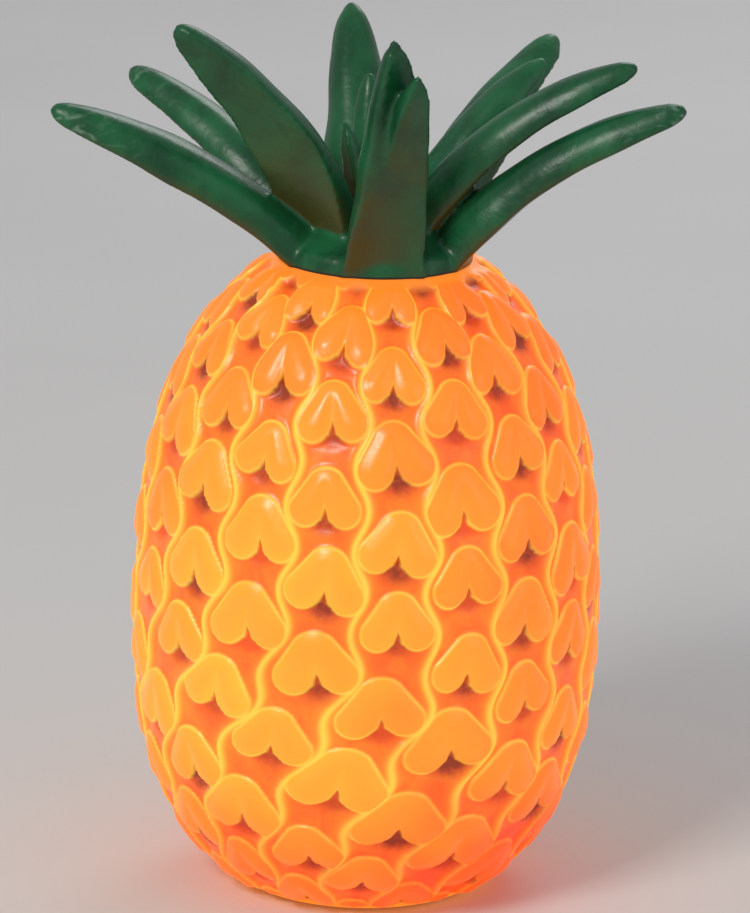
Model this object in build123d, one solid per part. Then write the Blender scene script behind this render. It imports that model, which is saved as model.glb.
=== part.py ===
"""A pineapple table lamp: a translucent moulded fruit shell and a green leaf crown over a lit bulb.

The shell lifts off a round base, and the crown lifts off the shell's neck. The base carries the
lampholder and bulb, a rocker switch and the bush that the supply cord would enter by.
Millimetres, +Z up, the origin on the resting surface at the lamp's axis. The front faces -Y.
"""

from build123d import *

import math
import os

# --- fruit shell -------------------------------------------------------------------------------
BODY_HEIGHT = 246.0  # resting surface to the neck's seat
BODY_RADIUS = 89.0  # at the belly
BELLY_HEIGHT = 104.0  # where the shell is widest
RIM_LIFT = 1.5  # the foot rim stands clear of the table by this much
SHELL_WALL = 3.0
NECK_RADIUS = 37.0  # outer edge of the neck's seat
SEAT_WIDTH = 3.6  # the flat ring that the crown sits on
COLLAR_DEPTH = 10.0
COLLAR_WALL = 2.4
VENT_COUNT = 16
VENT_RADIUS = 2.0
STAVE_COUNT = 12  # the wall is kept as this many upright staves
# --- leaf crown --------------------------------------------------------------------------------
SPIGOT_CLEARANCE = 0.4  # radial gap between the crown's spigot and the collar
SPIGOT_WALL = 3.0
SPIGOT_SHORT = 1.0  # the spigot ends above the collar's lower edge by this much
HUB_HEIGHT = 15.0
HUB_SHRINK = 15.0  # the hub's top is narrower than the neck by this much, on the radius
LEAF_THICKNESS = 0.46  # a leaf's thickness over its width
# --- base --------------------------------------------------------------------------------------
PAD_HEIGHT = 3.5  # non-slip ring under the flange
PAD_WIDTH = 4.5
PAD_INSET = 0.5
HOUSING_RADIUS = 38.0
HOUSING_WALL = 2.0
HOUSING_ROOF = 2.5
FLANGE_REACH = 5.5
FLANGE_THICKNESS = 3.5
HOLE_CLEARANCE = 0.6  # radial gap between the shell's floor hole and the housing
RIM_GAP = 4.5  # from the flange's edge to the foot rim's outer edge
COVER_THICKNESS = 2.5
FIT_GAP = 0.2  # gap round a piece that drops into another
NOSE_WIDTH = 44.0  # the block at the back that carries the switch and the bush
NOSE_PROUD = 15.0  # how far the nose reaches past the foot rim
NOSE_STEP = 5.0  # the nose's top is lower than the housing's by this much
NOTCH_GAP = 0.5
BOSS_RADIUS = 4.6
BOSS_INSET = 6.0  # from the housing's outside to the boss's middle
SCREW_RADIUS = 1.3
SCREW_HEAD_RADIUS = 2.6
SCREW_HEAD_HEIGHT = 1.4
SCREW_LENGTH = 9.0
SCREW_SLOT = 0.7
# --- lampholder --------------------------------------------------------------------------------
NIPPLE_RADIUS = 5.0
NIPPLE_BORE = 3.8
NIPPLE_BELOW = 5.0  # how far it stands out under the housing's roof
NIPPLE_ABOVE = 6.0  # how far it reaches into the lampholder
THREAD_GAP = 0.05
NUT_ACROSS_FLATS = 14.0
NUT_HEIGHT = 3.0
WASHER_RADIUS = 8.0
WASHER_THICKNESS = 0.8
HOLDER_RADIUS = 14.0
HOLDER_WALL = 1.8
HOLDER_LEDGE = 1.4
HOLDER_CAP_HEIGHT = 22.0
HOLDER_SKIRT_HEIGHT = 26.0
HOLDER_SPIGOT = 4.0
CORE_HEIGHT = 6.0
CONTACT_THICKNESS = 0.6
CONTACT_RADIUS = 2.6
RIVET_RADIUS = 1.5
SLEEVE_WALL = 0.4
SLEEVE_HEIGHT = 20.0
LIP_HEIGHT = 3.0
POST_SPREAD = 6.0  # the lampholder's terminal posts, from the axis
POST_RADIUS = 2.0
POST_LENGTH = 5.0
# --- bulb --------------------------------------------------------------------------------------
BULB_RADIUS = 22.5
BULB_LENGTH = 78.0
GLASS_WALL = 0.8
CAP_RADIUS = 6.95  # over the thread's crests
NECK_OVER_CAP = 0.95  # the glass neck's radius over the cap's
BULB_NECK = CAP_RADIUS + NECK_OVER_CAP
CAP_CLEARANCE = 0.3
CAP_LENGTH = 25.0
CAP_WALL = 0.4
CAP_PITCH = 2.82
CAP_TURNS = 5
THREAD_DEPTH = 0.4
COLLAR_LENGTH = 4.0
BUTTON_RADIUS = 2.4
BUTTON_HEIGHT = 2.0
CONE_HEIGHT = 4.0
STEM_RADIUS = 2.2
WIRE_RADIUS = 0.3
FILAMENT_SPAN = 9.0
FILAMENT_RADIUS = 0.55
# --- switch ------------------------------------------------------------------------------------
SWITCH_X = 9.5
SWITCH_WIDTH = 19.0
SWITCH_HEIGHT = 13.0
SWITCH_DEPTH = 12.0
SWITCH_MARGIN = 0.5  # from the switch's body to the nose's roof and cover
BEZEL_OVERLAP = 1.0
BEZEL_THICKNESS = 1.8
SWITCH_WALL = 1.0
ROCKER_GAP = 0.3
ROCKER_PIVOT_DEPTH = 1.0  # the pivot's line below the bezel's face
ROCKER_BELOW = 4.0
ROCKER_CENTRE = 1.8
ROCKER_END = 3.2
ROCKER_THROW = 14.0  # degrees between off and on
PIN_RADIUS = 1.0
PIN_LENGTH = 0.9
SPADE_SPREAD = 5.0
SPADE_WIDTH = 4.8
SPADE_THICKNESS = 0.8
SPADE_LENGTH = 5.0
RECEPTACLE_LENGTH = 8.0
RECEPTACLE_WALL = 0.8
# --- cord bush, terminal block and inner leads ---------------------------------------------------
BUSH_X = -13.0
BUSH_BORE = 3.2
BUSH_RADIUS = 4.7
BUSH_LIP = 0.6
BUSH_FLANGE_RADIUS = 6.2
BUSH_FLANGE = 1.5
BUSH_TAIL = 6.0
LEAD_RADIUS = 1.05
BLOCK_X = -11.0
BLOCK_WIDTH = 16.0
BLOCK_LENGTH = 18.0
BLOCK_HEIGHT = 10.0
BLOCK_INSET = 8.0  # from the housing's outside to the block's middle
POLE_SPREAD = 4.2
INSERT_RADIUS = 2.0
CLAMP_SCREW_RADIUS = 1.2
CLAMP_SCREW_LENGTH = 3.0

# --- places worked out from the sizes above ----------------------------------------------------
COLLAR_BORE = NECK_RADIUS - SEAT_WIDTH
NECK_RING_BOTTOM = BODY_HEIGHT - COLLAR_DEPTH
SPIGOT_RADIUS = COLLAR_BORE - SPIGOT_CLEARANCE
FLANGE_RADIUS = HOUSING_RADIUS + FLANGE_REACH
RIM_RADIUS = FLANGE_RADIUS + RIM_GAP
NOSE_REACH = RIM_RADIUS + NOSE_PROUD
FLANGE_BOTTOM = PAD_HEIGHT
FLOOR_HEIGHT = FLANGE_BOTTOM + FLANGE_THICKNESS
COVER_TOP = FLANGE_BOTTOM + COVER_THICKNESS
NOSE_CEILING = COVER_TOP + SWITCH_HEIGHT + 2 * SWITCH_MARGIN
NOSE_TOP = NOSE_CEILING + HOUSING_WALL
HOUSING_TOP = NOSE_TOP + NOSE_STEP
CEILING = HOUSING_TOP - HOUSING_ROOF
NOSE_MIDDLE = (COVER_TOP + NOSE_CEILING) / 2
INNER_RADIUS = HOUSING_RADIUS - HOUSING_WALL
NOSE_INSIDE = NOSE_WIDTH / 2 - HOUSING_WALL
NOSE_WALL_INSIDE = NOSE_REACH - HOUSING_WALL
BOSS_CIRCLE = HOUSING_RADIUS - BOSS_INSET
COVER_SCREW_HEAD_TOP = FLANGE_BOTTOM + FIT_GAP + SCREW_HEAD_HEIGHT
HOLDER_JOIN = HOUSING_TOP + HOLDER_CAP_HEIGHT
HOLDER_MOUTH = HOLDER_JOIN + HOLDER_SKIRT_HEIGHT
HOLDER_BORE = HOLDER_RADIUS - HOLDER_WALL
CORE_BOTTOM = HOLDER_JOIN - HOLDER_SPIGOT
CORE_TOP = CORE_BOTTOM + CORE_HEIGHT
SLEEVE_BORE = CAP_RADIUS + CAP_CLEARANCE
BULB_COLLAR = BULB_NECK + CAP_WALL + THREAD_GAP
LIP_BORE = max(BULB_COLLAR, SLEEVE_BORE + SLEEVE_WALL) + CAP_CLEARANCE
BULB_BOTTOM = CORE_TOP + CONTACT_THICKNESS
CAP_TOP = BULB_BOTTOM + CAP_LENGTH
GLASS_BOTTOM = CAP_TOP - COLLAR_LENGTH
BULB_CENTRE = BULB_BOTTOM + BULB_LENGTH - BULB_RADIUS
BEZEL_FACE = NOSE_REACH + BEZEL_THICKNESS
PIVOT_Y = BEZEL_FACE - ROCKER_PIVOT_DEPTH
SWITCH_BACK = NOSE_REACH - SWITCH_DEPTH
SPADE_TIP = SWITCH_BACK - SPADE_LENGTH
RECEPTACLE_BACK = SWITCH_BACK - 1 - RECEPTACLE_LENGTH
LEAD_AT_SWITCH = SPADE_TIP - 1
BLOCK_Y = HOUSING_RADIUS - BLOCK_INSET
BLOCK_TOP = NOSE_CEILING - SWITCH_MARGIN
BLOCK_BOTTOM = BLOCK_TOP - BLOCK_HEIGHT
POLE_HEIGHT = (BLOCK_TOP + BLOCK_BOTTOM) / 2
LEAD_AT_POST = CORE_BOTTOM - POST_LENGTH + 3


def revolved(*outline):
    """A solid of revolution about Z from (radius, height) corners."""
    face = make_face(Polyline(*[(r, 0, z) for r, z in outline], close=True))
    return revolve(face, Axis.Z)


def tube(outer, inner, bottom, top):
    """A ring-shaped solid on the Z axis."""
    return revolved((inner, bottom), (outer, bottom), (outer, top), (inner, top))


def rod(radius, bottom, top, x=0.0, y=0.0):
    """An upright round bar."""
    return Pos(x, y, (bottom + top) / 2) * Cylinder(radius, top - bottom)


def rod_x(radius, near, far, y=0.0, z=0.0):
    """A round bar that lies along X."""
    return Pos((near + far) / 2, y, z) * Rot(Y=90) * Cylinder(radius, abs(far - near))


def rod_y(radius, near, far, x=0.0, z=0.0):
    """A round bar that lies along Y."""
    return Pos(x, (near + far) / 2, z) * Rot(X=90) * Cylinder(radius, far - near)


def block(x_span, y_span, z_span):
    """A box, given by its span along each axis."""
    spans = (x_span, y_span, z_span)
    middle = [(low + high) / 2 for low, high in spans]
    size = [high - low for low, high in spans]
    return Pos(*middle) * Box(*size)


def around(count, radius, start):
    """Points spaced evenly on a circle about the axis."""
    angles = [math.radians(start + 360 / count * i) for i in range(count)]
    return [(radius * math.cos(a), radius * math.sin(a)) for a in angles]


def joined(solids):
    """Several separate solids of one kind, as one shape."""
    return Compound(children=[solid.solid() for solid in solids])


def screw_up(x, y, head_top, length):
    """A slotted pan-head screw that is driven upwards."""
    head_bottom = head_top - SCREW_HEAD_HEIGHT
    shank = rod(SCREW_RADIUS, head_top, head_top + length, x, y)
    head = rod(SCREW_HEAD_RADIUS, head_bottom, head_top, x, y)
    slot = block(
        (x - SCREW_HEAD_RADIUS, x + SCREW_HEAD_RADIUS),
        (y - SCREW_SLOT / 2, y + SCREW_SLOT / 2),
        (head_bottom, head_bottom + SCREW_HEAD_HEIGHT / 2),
    )
    return shank + head - slot


# --- fruit shell -------------------------------------------------------------------------------
def fruit_edge():
    """The fruit's outer outline, from the foot rim up to the neck's seat."""
    below = BELLY_HEIGHT - RIM_LIFT
    above = BODY_HEIGHT - BELLY_HEIGHT
    foot_step = BODY_RADIUS - RIM_RADIUS
    neck_step = BODY_RADIUS - NECK_RADIUS
    return Spline(
        (RIM_RADIUS, 0, RIM_LIFT),
        (RIM_RADIUS + 0.46 * foot_step, 0, RIM_LIFT + 0.16 * below),
        (RIM_RADIUS + 0.88 * foot_step, 0, RIM_LIFT + 0.52 * below),
        (BODY_RADIUS, 0, BELLY_HEIGHT),
        (NECK_RADIUS + 0.92 * neck_step, 0, BELLY_HEIGHT + 0.44 * above),
        (NECK_RADIUS + 0.56 * neck_step, 0, BELLY_HEIGHT + 0.80 * above),
        (NECK_RADIUS, 0, BODY_HEIGHT),
    )


def inset_edge(edge, depth, count=9):
    """The same outline moved inwards by depth."""
    points = []
    for i in range(count):
        share = i / (count - 1)
        along = edge % share
        points.append(edge @ share + Vector(-along.Z, 0, along.X) * depth)
    return Spline(*points)


def half_notch():
    """Half the width of the opening at the back that the base's nose comes out of."""
    return NOSE_WIDTH / 2 + NOTCH_GAP


def notch_block():
    """What is cut from the shell at the back to clear the base's nose."""
    top = NOSE_TOP + NOTCH_GAP
    return block((-half_notch(), half_notch()), (0, NOSE_REACH + BODY_RADIUS), (0, top))


def wall_face():
    """The wall's section, from the foot rim up to the neck's seat."""
    outer = fruit_edge()
    inner = inset_edge(outer, SHELL_WALL)
    return make_face(outer + Line(outer @ 1, inner @ 1) + inner + Line(inner @ 0, outer @ 0))


def make_wall_stave(number):
    """One upright stave of the fruit's wall, up to the neck ring."""
    arc = 360 / STAVE_COUNT
    stave = Rot(Z=arc * number) * revolve(wall_face(), Axis.Z, arc)
    stave -= rod(2 * BODY_RADIUS, NECK_RING_BOTTOM, BODY_HEIGHT + COLLAR_DEPTH)
    return stave - notch_block()


def make_shell_floor():
    """The ring-shaped floor inside the foot rim, which rests on the base's flange, with its vents."""
    inner = inset_edge(fruit_edge(), SHELL_WALL)
    inside = make_face(inner + Polyline(inner @ 1, (0, 0, (inner @ 1).Z), (0, 0, (inner @ 0).Z), inner @ 0))
    hole = HOUSING_RADIUS + HOLE_CLEARANCE
    floor = tube(BODY_RADIUS, hole, FLOOR_HEIGHT, FLOOR_HEIGHT + SHELL_WALL) & revolve(inside, Axis.Z)
    floor -= notch_block()
    vent_circle = (FLANGE_RADIUS + RIM_RADIUS) / 2 + VENT_RADIUS
    for x, y in around(VENT_COUNT, vent_circle, 180 / VENT_COUNT):
        if y < 0 or abs(x) > half_notch() + 2 * VENT_RADIUS:
            floor -= rod(VENT_RADIUS, FLOOR_HEIGHT - 1, FLOOR_HEIGHT + SHELL_WALL + 1, x, y)
    return floor


def make_neck_ring():
    """The top of the wall with its flat seat and the collar that takes the crown's spigot."""
    neck = revolve(wall_face(), Axis.Z) - rod(2 * BODY_RADIUS, -BODY_HEIGHT, NECK_RING_BOTTOM)
    neck += tube(NECK_RADIUS, COLLAR_BORE, BODY_HEIGHT - SHELL_WALL, BODY_HEIGHT)
    neck += tube(COLLAR_BORE + COLLAR_WALL, COLLAR_BORE, NECK_RING_BOTTOM, BODY_HEIGHT)
    neck -= rod(COLLAR_BORE, BODY_HEIGHT - 2 * COLLAR_DEPTH, BODY_HEIGHT + COLLAR_DEPTH)
    return neck - rod(BODY_RADIUS, BODY_HEIGHT, BODY_HEIGHT + COLLAR_DEPTH)


# --- leaf crown --------------------------------------------------------------------------------
# Each leaf: compass angle, root radius, root height above the seam, tip radius, tip height above the
# seam, curl in degrees and root width. Angles run anticlockwise from +X, so -90 points to the front.
OUTER_LEAVES = (
    (190, 27, 4, 120, 57, 26, 31),
    (-85, 27, 3, 55, 91, 16, 31),
    (-13, 27, 4, 113, 64, 34, 31),
    (46, 26, 5, 94, 71, 30, 30),
    (99, 26, 6, 73, 80, 24, 29),
    (148, 27, 4, 110, 56, 30, 29),
)
INNER_LEAVES = (
    (212, 15, 10, 85, 93, 28, 29),
    (-78, 20, 10, 64, 80, 18, 22),
    (-8, 14, 12, 93, 77, 40, 27),
    (31, 14, 12, 72, 69, 28, 23),
    (104, 9, 12, 16, 64, 10, 17),
    (205, 5, 12, 13, 50, 14, 13),
)
LEAF_STATIONS = (0.0, 0.25, 0.5, 0.72, 0.89, 1.0)
LEAF_TIP = 0.34  # the tip's width over the root's


def leaf_taper(share):
    """A leaf's width at a share of its length, over its root width."""
    return LEAF_TIP + (1 - LEAF_TIP) * (1 - share**2.2) ** 0.75


def leaf_section(radius, height, heading, width):
    """A leaf's section across its spine: flat outside and round inside."""
    plane = Plane((radius, 0, height), x_dir=(0, 1, 0), z_dir=(math.cos(heading), 0, math.sin(heading)))
    half, deep = width / 2, width * LEAF_THICKNESS / 2
    crest = ThreePointArc((-half, -deep), (0, deep), (half, -deep))
    return plane * make_face(crest + Line((half, -deep), (-half, -deep)))


def make_leaf(compass, root_radius, root_rise, tip_radius, tip_rise, curl, width):
    """One leaf, which follows an arc that curls outwards from its root to its tip."""
    rise, run = tip_rise - root_rise, tip_radius - root_radius
    bend = math.radians(curl)
    first = math.atan2(rise, run) + bend / 2
    arc_radius = math.hypot(rise, run) / (2 * math.sin(bend / 2))
    sections = []
    for share in LEAF_STATIONS:
        heading = first - bend * share
        radius = root_radius + arc_radius * (math.sin(first) - math.sin(heading))
        height = BODY_HEIGHT + root_rise + arc_radius * (math.cos(heading) - math.cos(first))
        sections.append(leaf_section(radius, height, heading, width * leaf_taper(share)))
    return Rot(Z=compass) * loft(sections)


def make_leaf_crown():
    """The crown: leaves grown from one hub, which is flat underneath."""
    hub_top = BODY_HEIGHT + HUB_HEIGHT
    crown = revolved(
        (0, BODY_HEIGHT),
        (NECK_RADIUS, BODY_HEIGHT),
        (NECK_RADIUS - 1, BODY_HEIGHT + 0.4 * HUB_HEIGHT),
        (NECK_RADIUS - HUB_SHRINK, hub_top),
        (0, hub_top + 0.25 * HUB_HEIGHT),
    )
    for leaf in OUTER_LEAVES + INNER_LEAVES:
        crown += make_leaf(*leaf)
    crown -= rod(2 * NECK_RADIUS, NECK_RING_BOTTOM - COLLAR_DEPTH, BODY_HEIGHT)
    return crown - rod(SPIGOT_RADIUS - SPIGOT_WALL, BODY_HEIGHT - 1, BODY_HEIGHT + 1)


def make_crown_spigot():
    """The ring under the crown that drops into the shell's collar."""
    return tube(SPIGOT_RADIUS, SPIGOT_RADIUS - SPIGOT_WALL, NECK_RING_BOTTOM + SPIGOT_SHORT, BODY_HEIGHT)


# --- base --------------------------------------------------------------------------------------
def base_outline(gap):
    """The inside of the housing and its nose in plan, smaller all round by gap."""
    disc = Circle(INNER_RADIUS - gap)
    half = NOSE_INSIDE - gap
    reach = NOSE_WALL_INSIDE - gap
    return disc + Pos(0, reach / 2) * Rectangle(2 * half, reach)


def make_base_housing():
    """The upturned cup that carries everything, with its flange, screw bosses and nose."""
    nose = block((-NOSE_WIDTH / 2, NOSE_WIDTH / 2), (0, NOSE_REACH), (FLANGE_BOTTOM, NOSE_TOP))
    housing = rod(HOUSING_RADIUS, FLANGE_BOTTOM, HOUSING_TOP) + nose
    housing += rod(FLANGE_RADIUS, FLANGE_BOTTOM, FLOOR_HEIGHT)
    housing = fillet(housing.edges().filter_by(GeomType.CIRCLE).sort_by(Axis.Z)[-1], 1.2)
    housing -= rod(INNER_RADIUS, FLANGE_BOTTOM - 1, CEILING)
    housing -= block((-NOSE_INSIDE, NOSE_INSIDE), (0, NOSE_WALL_INSIDE), (FLANGE_BOTTOM - 1, NOSE_CEILING))
    for x, y in around(3, BOSS_CIRCLE, 30):
        housing += rod(BOSS_RADIUS, COVER_TOP, CEILING, x, y)
        housing -= rod(SCREW_RADIUS, COVER_TOP - 1, COVER_TOP + SCREW_LENGTH + 1, x, y)
    housing += rod(BOSS_RADIUS, BLOCK_TOP, CEILING, BLOCK_X, BLOCK_Y)
    housing -= rod(SCREW_RADIUS, BLOCK_TOP - 1, CEILING, BLOCK_X, BLOCK_Y)
    housing -= rod(NIPPLE_RADIUS + 2 * THREAD_GAP, CEILING - 1, HOUSING_TOP + 1)
    half_hole = SWITCH_WIDTH / 2 + THREAD_GAP
    tall_hole = SWITCH_HEIGHT / 2 + THREAD_GAP
    housing -= block(
        (SWITCH_X - half_hole, SWITCH_X + half_hole),
        (NOSE_WALL_INSIDE - 1, NOSE_REACH + 1),
        (NOSE_MIDDLE - tall_hole, NOSE_MIDDLE + tall_hole),
    )
    bush_hole = BUSH_RADIUS + THREAD_GAP
    return housing - rod_y(bush_hole, NOSE_WALL_INSIDE - 1, NOSE_REACH + 1, BUSH_X, NOSE_MIDDLE)


def make_base_cover():
    """The plate that closes the housing and its nose from below, with sunk screw holes."""
    cover = Pos(0, 0, FLANGE_BOTTOM) * extrude(base_outline(FIT_GAP), COVER_THICKNESS)
    for x, y in around(3, BOSS_CIRCLE, 30):
        cover -= rod(SCREW_HEAD_RADIUS + FIT_GAP, FLANGE_BOTTOM - 1, COVER_SCREW_HEAD_TOP, x, y)
        cover -= rod(SCREW_RADIUS + FIT_GAP, FLANGE_BOTTOM, COVER_TOP + 1, x, y)
    return cover


def make_foot_ring():
    """The non-slip ring that the lamp stands on."""
    outer = FLANGE_RADIUS - PAD_INSET
    return tube(outer, outer - PAD_WIDTH, 0, PAD_HEIGHT)


def make_cover_screws():
    """The three screws that hold the cover."""
    places = around(3, BOSS_CIRCLE, 30)
    return joined([screw_up(x, y, COVER_SCREW_HEAD_TOP, SCREW_LENGTH) for x, y in places])


# --- lampholder --------------------------------------------------------------------------------
def make_threaded_nipple():
    """The hollow threaded tube that ties the lampholder to the housing's roof."""
    return tube(NIPPLE_RADIUS, NIPPLE_BORE, CEILING - NIPPLE_BELOW, HOUSING_TOP + NIPPLE_ABOVE)


def make_nipple_nut():
    """The hex nut under the roof."""
    top = CEILING - WASHER_THICKNESS
    hexagon = RegularPolygon(NUT_ACROSS_FLATS / 2, 6, major_radius=False)
    nut = Pos(0, 0, top - NUT_HEIGHT) * extrude(hexagon, NUT_HEIGHT)
    return nut - rod(NIPPLE_RADIUS + THREAD_GAP, top - NUT_HEIGHT - 1, top + 1)


def make_lock_washer():
    """The toothed washer between the nut and the roof."""
    washer = tube(WASHER_RADIUS, NIPPLE_RADIUS + FIT_GAP, CEILING - WASHER_THICKNESS, CEILING)
    for x, y in around(12, WASHER_RADIUS, 0):
        washer -= rod(0.5, CEILING - 2 * WASHER_THICKNESS, CEILING + 1, x, y)
    return washer


def make_holder_cap():
    """The lampholder's lower half, which screws on to the nipple and has a ledge for the core."""
    spigot = HOLDER_BORE + HOLDER_WALL / 2
    narrow = HOLDER_BORE - HOLDER_LEDGE
    cap = tube(HOLDER_RADIUS, narrow, HOUSING_TOP, CORE_BOTTOM)
    cap += tube(HOLDER_RADIUS, HOLDER_BORE, CORE_BOTTOM, HOLDER_JOIN)
    cap += tube(spigot, HOLDER_BORE, HOLDER_JOIN, HOLDER_JOIN + HOLDER_SPIGOT)
    neck_bore = NIPPLE_RADIUS + THREAD_GAP
    cap += tube(narrow, neck_bore, HOUSING_TOP, HOUSING_TOP + HOLDER_WALL)
    return cap + tube(neck_bore + HOLDER_WALL, neck_bore, HOUSING_TOP, HOUSING_TOP + NIPPLE_ABOVE)


def make_holder_core():
    """The insulating disc that carries the contact, the thread sleeve and the terminal posts."""
    core = rod(HOLDER_BORE - THREAD_GAP, CORE_BOTTOM, CORE_TOP)
    return core - rod(RIVET_RADIUS, CORE_BOTTOM - 1, CORE_TOP + 1)


def make_holder_skirt():
    """The lampholder's outer sleeve, with grip ribs and an inward lip round the mouth."""
    spigot = HOLDER_BORE + HOLDER_WALL / 2 + THREAD_GAP
    skirt = tube(HOLDER_RADIUS, HOLDER_BORE, HOLDER_JOIN, HOLDER_MOUTH)
    skirt += tube(HOLDER_RADIUS, LIP_BORE, HOLDER_MOUTH - LIP_HEIGHT, HOLDER_MOUTH)
    skirt -= tube(spigot, HOLDER_BORE - 1, HOLDER_JOIN - 1, HOLDER_JOIN + HOLDER_SPIGOT + THREAD_GAP)
    for x, y in around(24, HOLDER_RADIUS, 0):
        skirt -= rod(0.5, HOLDER_JOIN - 1, HOLDER_MOUTH - LIP_HEIGHT, x, y)
    return skirt


def make_thread_sleeve():
    """The brass sleeve that the bulb's cap screws into."""
    return tube(SLEEVE_BORE + SLEEVE_WALL, SLEEVE_BORE, CORE_TOP, CORE_TOP + SLEEVE_HEIGHT)


def make_centre_contact():
    """The riveted contact at the bottom of the lampholder."""
    return rod(CONTACT_RADIUS, CORE_TOP, BULB_BOTTOM) + rod(RIVET_RADIUS, CORE_BOTTOM, CORE_TOP)


def make_holder_terminals():
    """The two posts under the core, bored for the leads and tapped for the clamp screws."""
    posts = []
    for side in (-1, 1):
        post = rod(POST_RADIUS, CORE_BOTTOM - POST_LENGTH, CORE_BOTTOM, side * POST_SPREAD)
        post -= rod(LEAD_RADIUS, CORE_BOTTOM - POST_LENGTH - 1, LEAD_AT_POST, side * POST_SPREAD)
        middle = (CORE_BOTTOM - POST_LENGTH + LEAD_AT_POST) / 2
        hole = (side * POST_SPREAD, side * (POST_SPREAD + POST_RADIUS + 1))
        posts.append(post - rod_x(CLAMP_SCREW_RADIUS / 2, min(hole), max(hole), z=middle))
    return joined(posts)


def make_terminal_clamp_screws():
    """The small screws that clamp the leads in the lampholder's posts."""
    screws = []
    middle = (CORE_BOTTOM - POST_LENGTH + LEAD_AT_POST) / 2
    for side in (-1, 1):
        tip = side * (POST_SPREAD + LEAD_RADIUS + THREAD_GAP)
        neck = side * (POST_SPREAD + POST_RADIUS)
        end = side * (POST_SPREAD + POST_RADIUS + 1)
        shank = rod_x(CLAMP_SCREW_RADIUS / 2, min(tip, end), max(tip, end), z=middle)
        screws.append(shank + rod_x(CLAMP_SCREW_RADIUS, min(neck, end), max(neck, end), z=middle))
    return joined(screws)


# --- bulb --------------------------------------------------------------------------------------
def glass_edge(inset):
    """The bulb's outline from its neck to its top, moved in by inset."""
    radius = BULB_RADIUS - inset
    neck = BULB_NECK - inset
    turn = math.radians(-42)
    foot = Vector(neck, 0, GLASS_BOTTOM)
    start = Vector(neck, 0, CAP_TOP)
    belly = Vector(radius * math.cos(turn), 0, BULB_CENTRE + radius * math.sin(turn))
    along = Vector(-math.sin(turn), 0, math.cos(turn))
    pull = (belly.Z - start.Z) * 0.4
    flare = Bezier(start, start + Vector(0, 0, pull), belly - along * pull, belly)
    middle = (radius, 0, BULB_CENTRE)
    side = ThreePointArc(belly, middle, (radius * math.cos(0.9), 0, BULB_CENTRE + radius * math.sin(0.9)))
    dome = ThreePointArc(
        side @ 1,
        (radius * math.cos(1.25), 0, BULB_CENTRE + radius * math.sin(1.25)),
        (0, 0, BULB_CENTRE + radius),
    )
    return Line(foot, start) + flare + side + dome


def solid_bulb(inset):
    """The bulb's shape as one solid, smaller all round by inset."""
    edge = glass_edge(inset)
    top, foot = (0, 0, BULB_CENTRE + BULB_RADIUS - inset), (BULB_NECK - inset, 0, GLASS_BOTTOM)
    return revolve(make_face(edge + Polyline(top, (0, 0, GLASS_BOTTOM), foot)), Axis.Z)


def make_bulb_glass():
    """The glass envelope, open at its neck, where the cap closes it."""
    return solid_bulb(0) - solid_bulb(GLASS_WALL)


def make_bulb_cap():
    """The metal screw cap, with a ridge for each turn of its thread and a collar round the glass."""
    low = BULB_BOTTOM + CONE_HEIGHT
    outline = [(CAP_RADIUS - THREAD_DEPTH, low)]
    for turn in range(CAP_TURNS):
        start = low + 0.5 + turn * CAP_PITCH
        outline.append((CAP_RADIUS - THREAD_DEPTH, start))
        outline.append((CAP_RADIUS, start + 0.5 * CAP_PITCH))
    outline.append((CAP_RADIUS - THREAD_DEPTH, low + 0.5 + CAP_TURNS * CAP_PITCH))
    outline.append((CAP_RADIUS - THREAD_DEPTH, GLASS_BOTTOM - 1.5))
    outline.append((BULB_COLLAR, GLASS_BOTTOM - 0.5))
    outline.append((BULB_COLLAR, CAP_TOP))
    outline.append((BULB_NECK + THREAD_GAP, CAP_TOP))
    outline.append((BULB_NECK + THREAD_GAP, GLASS_BOTTOM - THREAD_GAP))
    bore = CAP_RADIUS - THREAD_DEPTH - CAP_WALL
    outline.append((bore, GLASS_BOTTOM - THREAD_GAP))
    outline.append((bore, low))
    return revolved(*outline)


def make_bulb_insulator():
    """The dark glass cone between the cap and the contact button."""
    top = BULB_BOTTOM + CONE_HEIGHT
    foot = BULB_BOTTOM + BUTTON_HEIGHT / 2
    cone = revolved((0, foot), (BUTTON_RADIUS + 0.6, foot), (CAP_RADIUS - THREAD_DEPTH, top), (0, top))
    return cone - rod(BUTTON_RADIUS, BULB_BOTTOM, BULB_BOTTOM + BUTTON_HEIGHT)


def make_bulb_contact():
    """The contact button at the bottom of the bulb."""
    return rod(BUTTON_RADIUS, BULB_BOTTOM, BULB_BOTTOM + BUTTON_HEIGHT)


def stem_top():
    """The height of the stem's tip inside the glass."""
    return BULB_CENTRE - 0.3 * BULB_RADIUS


def make_bulb_stem():
    """The glass stem inside the envelope, flared where it seals to the neck."""
    rim = BULB_NECK - GLASS_WALL
    return revolved(
        (0, GLASS_BOTTOM),
        (rim, GLASS_BOTTOM),
        (rim, GLASS_BOTTOM + 1),
        (STEM_RADIUS, GLASS_BOTTOM + 7),
        (STEM_RADIUS, stem_top()),
        (0, stem_top()),
    )


def make_bulb_support_wires():
    """The two wires that hold the filament's ends, rooted in the stem's tip."""
    foot, height = STEM_RADIUS - 2 * WIRE_RADIUS, BULB_CENTRE
    lean = math.degrees(math.atan2(FILAMENT_SPAN - foot, height - stem_top()))
    length = math.hypot(FILAMENT_SPAN - foot, height - stem_top())
    wires = []
    for side in (-1, 1):
        wire = Pos(0, 0, length / 2) * Cylinder(WIRE_RADIUS, length)
        wires.append(Pos(side * foot, 0, stem_top()) * Rot(Y=side * lean) * wire)
    trim = rod(STEM_RADIUS, stem_top() - 1, stem_top())
    return joined([wire - trim for wire in wires])


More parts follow.
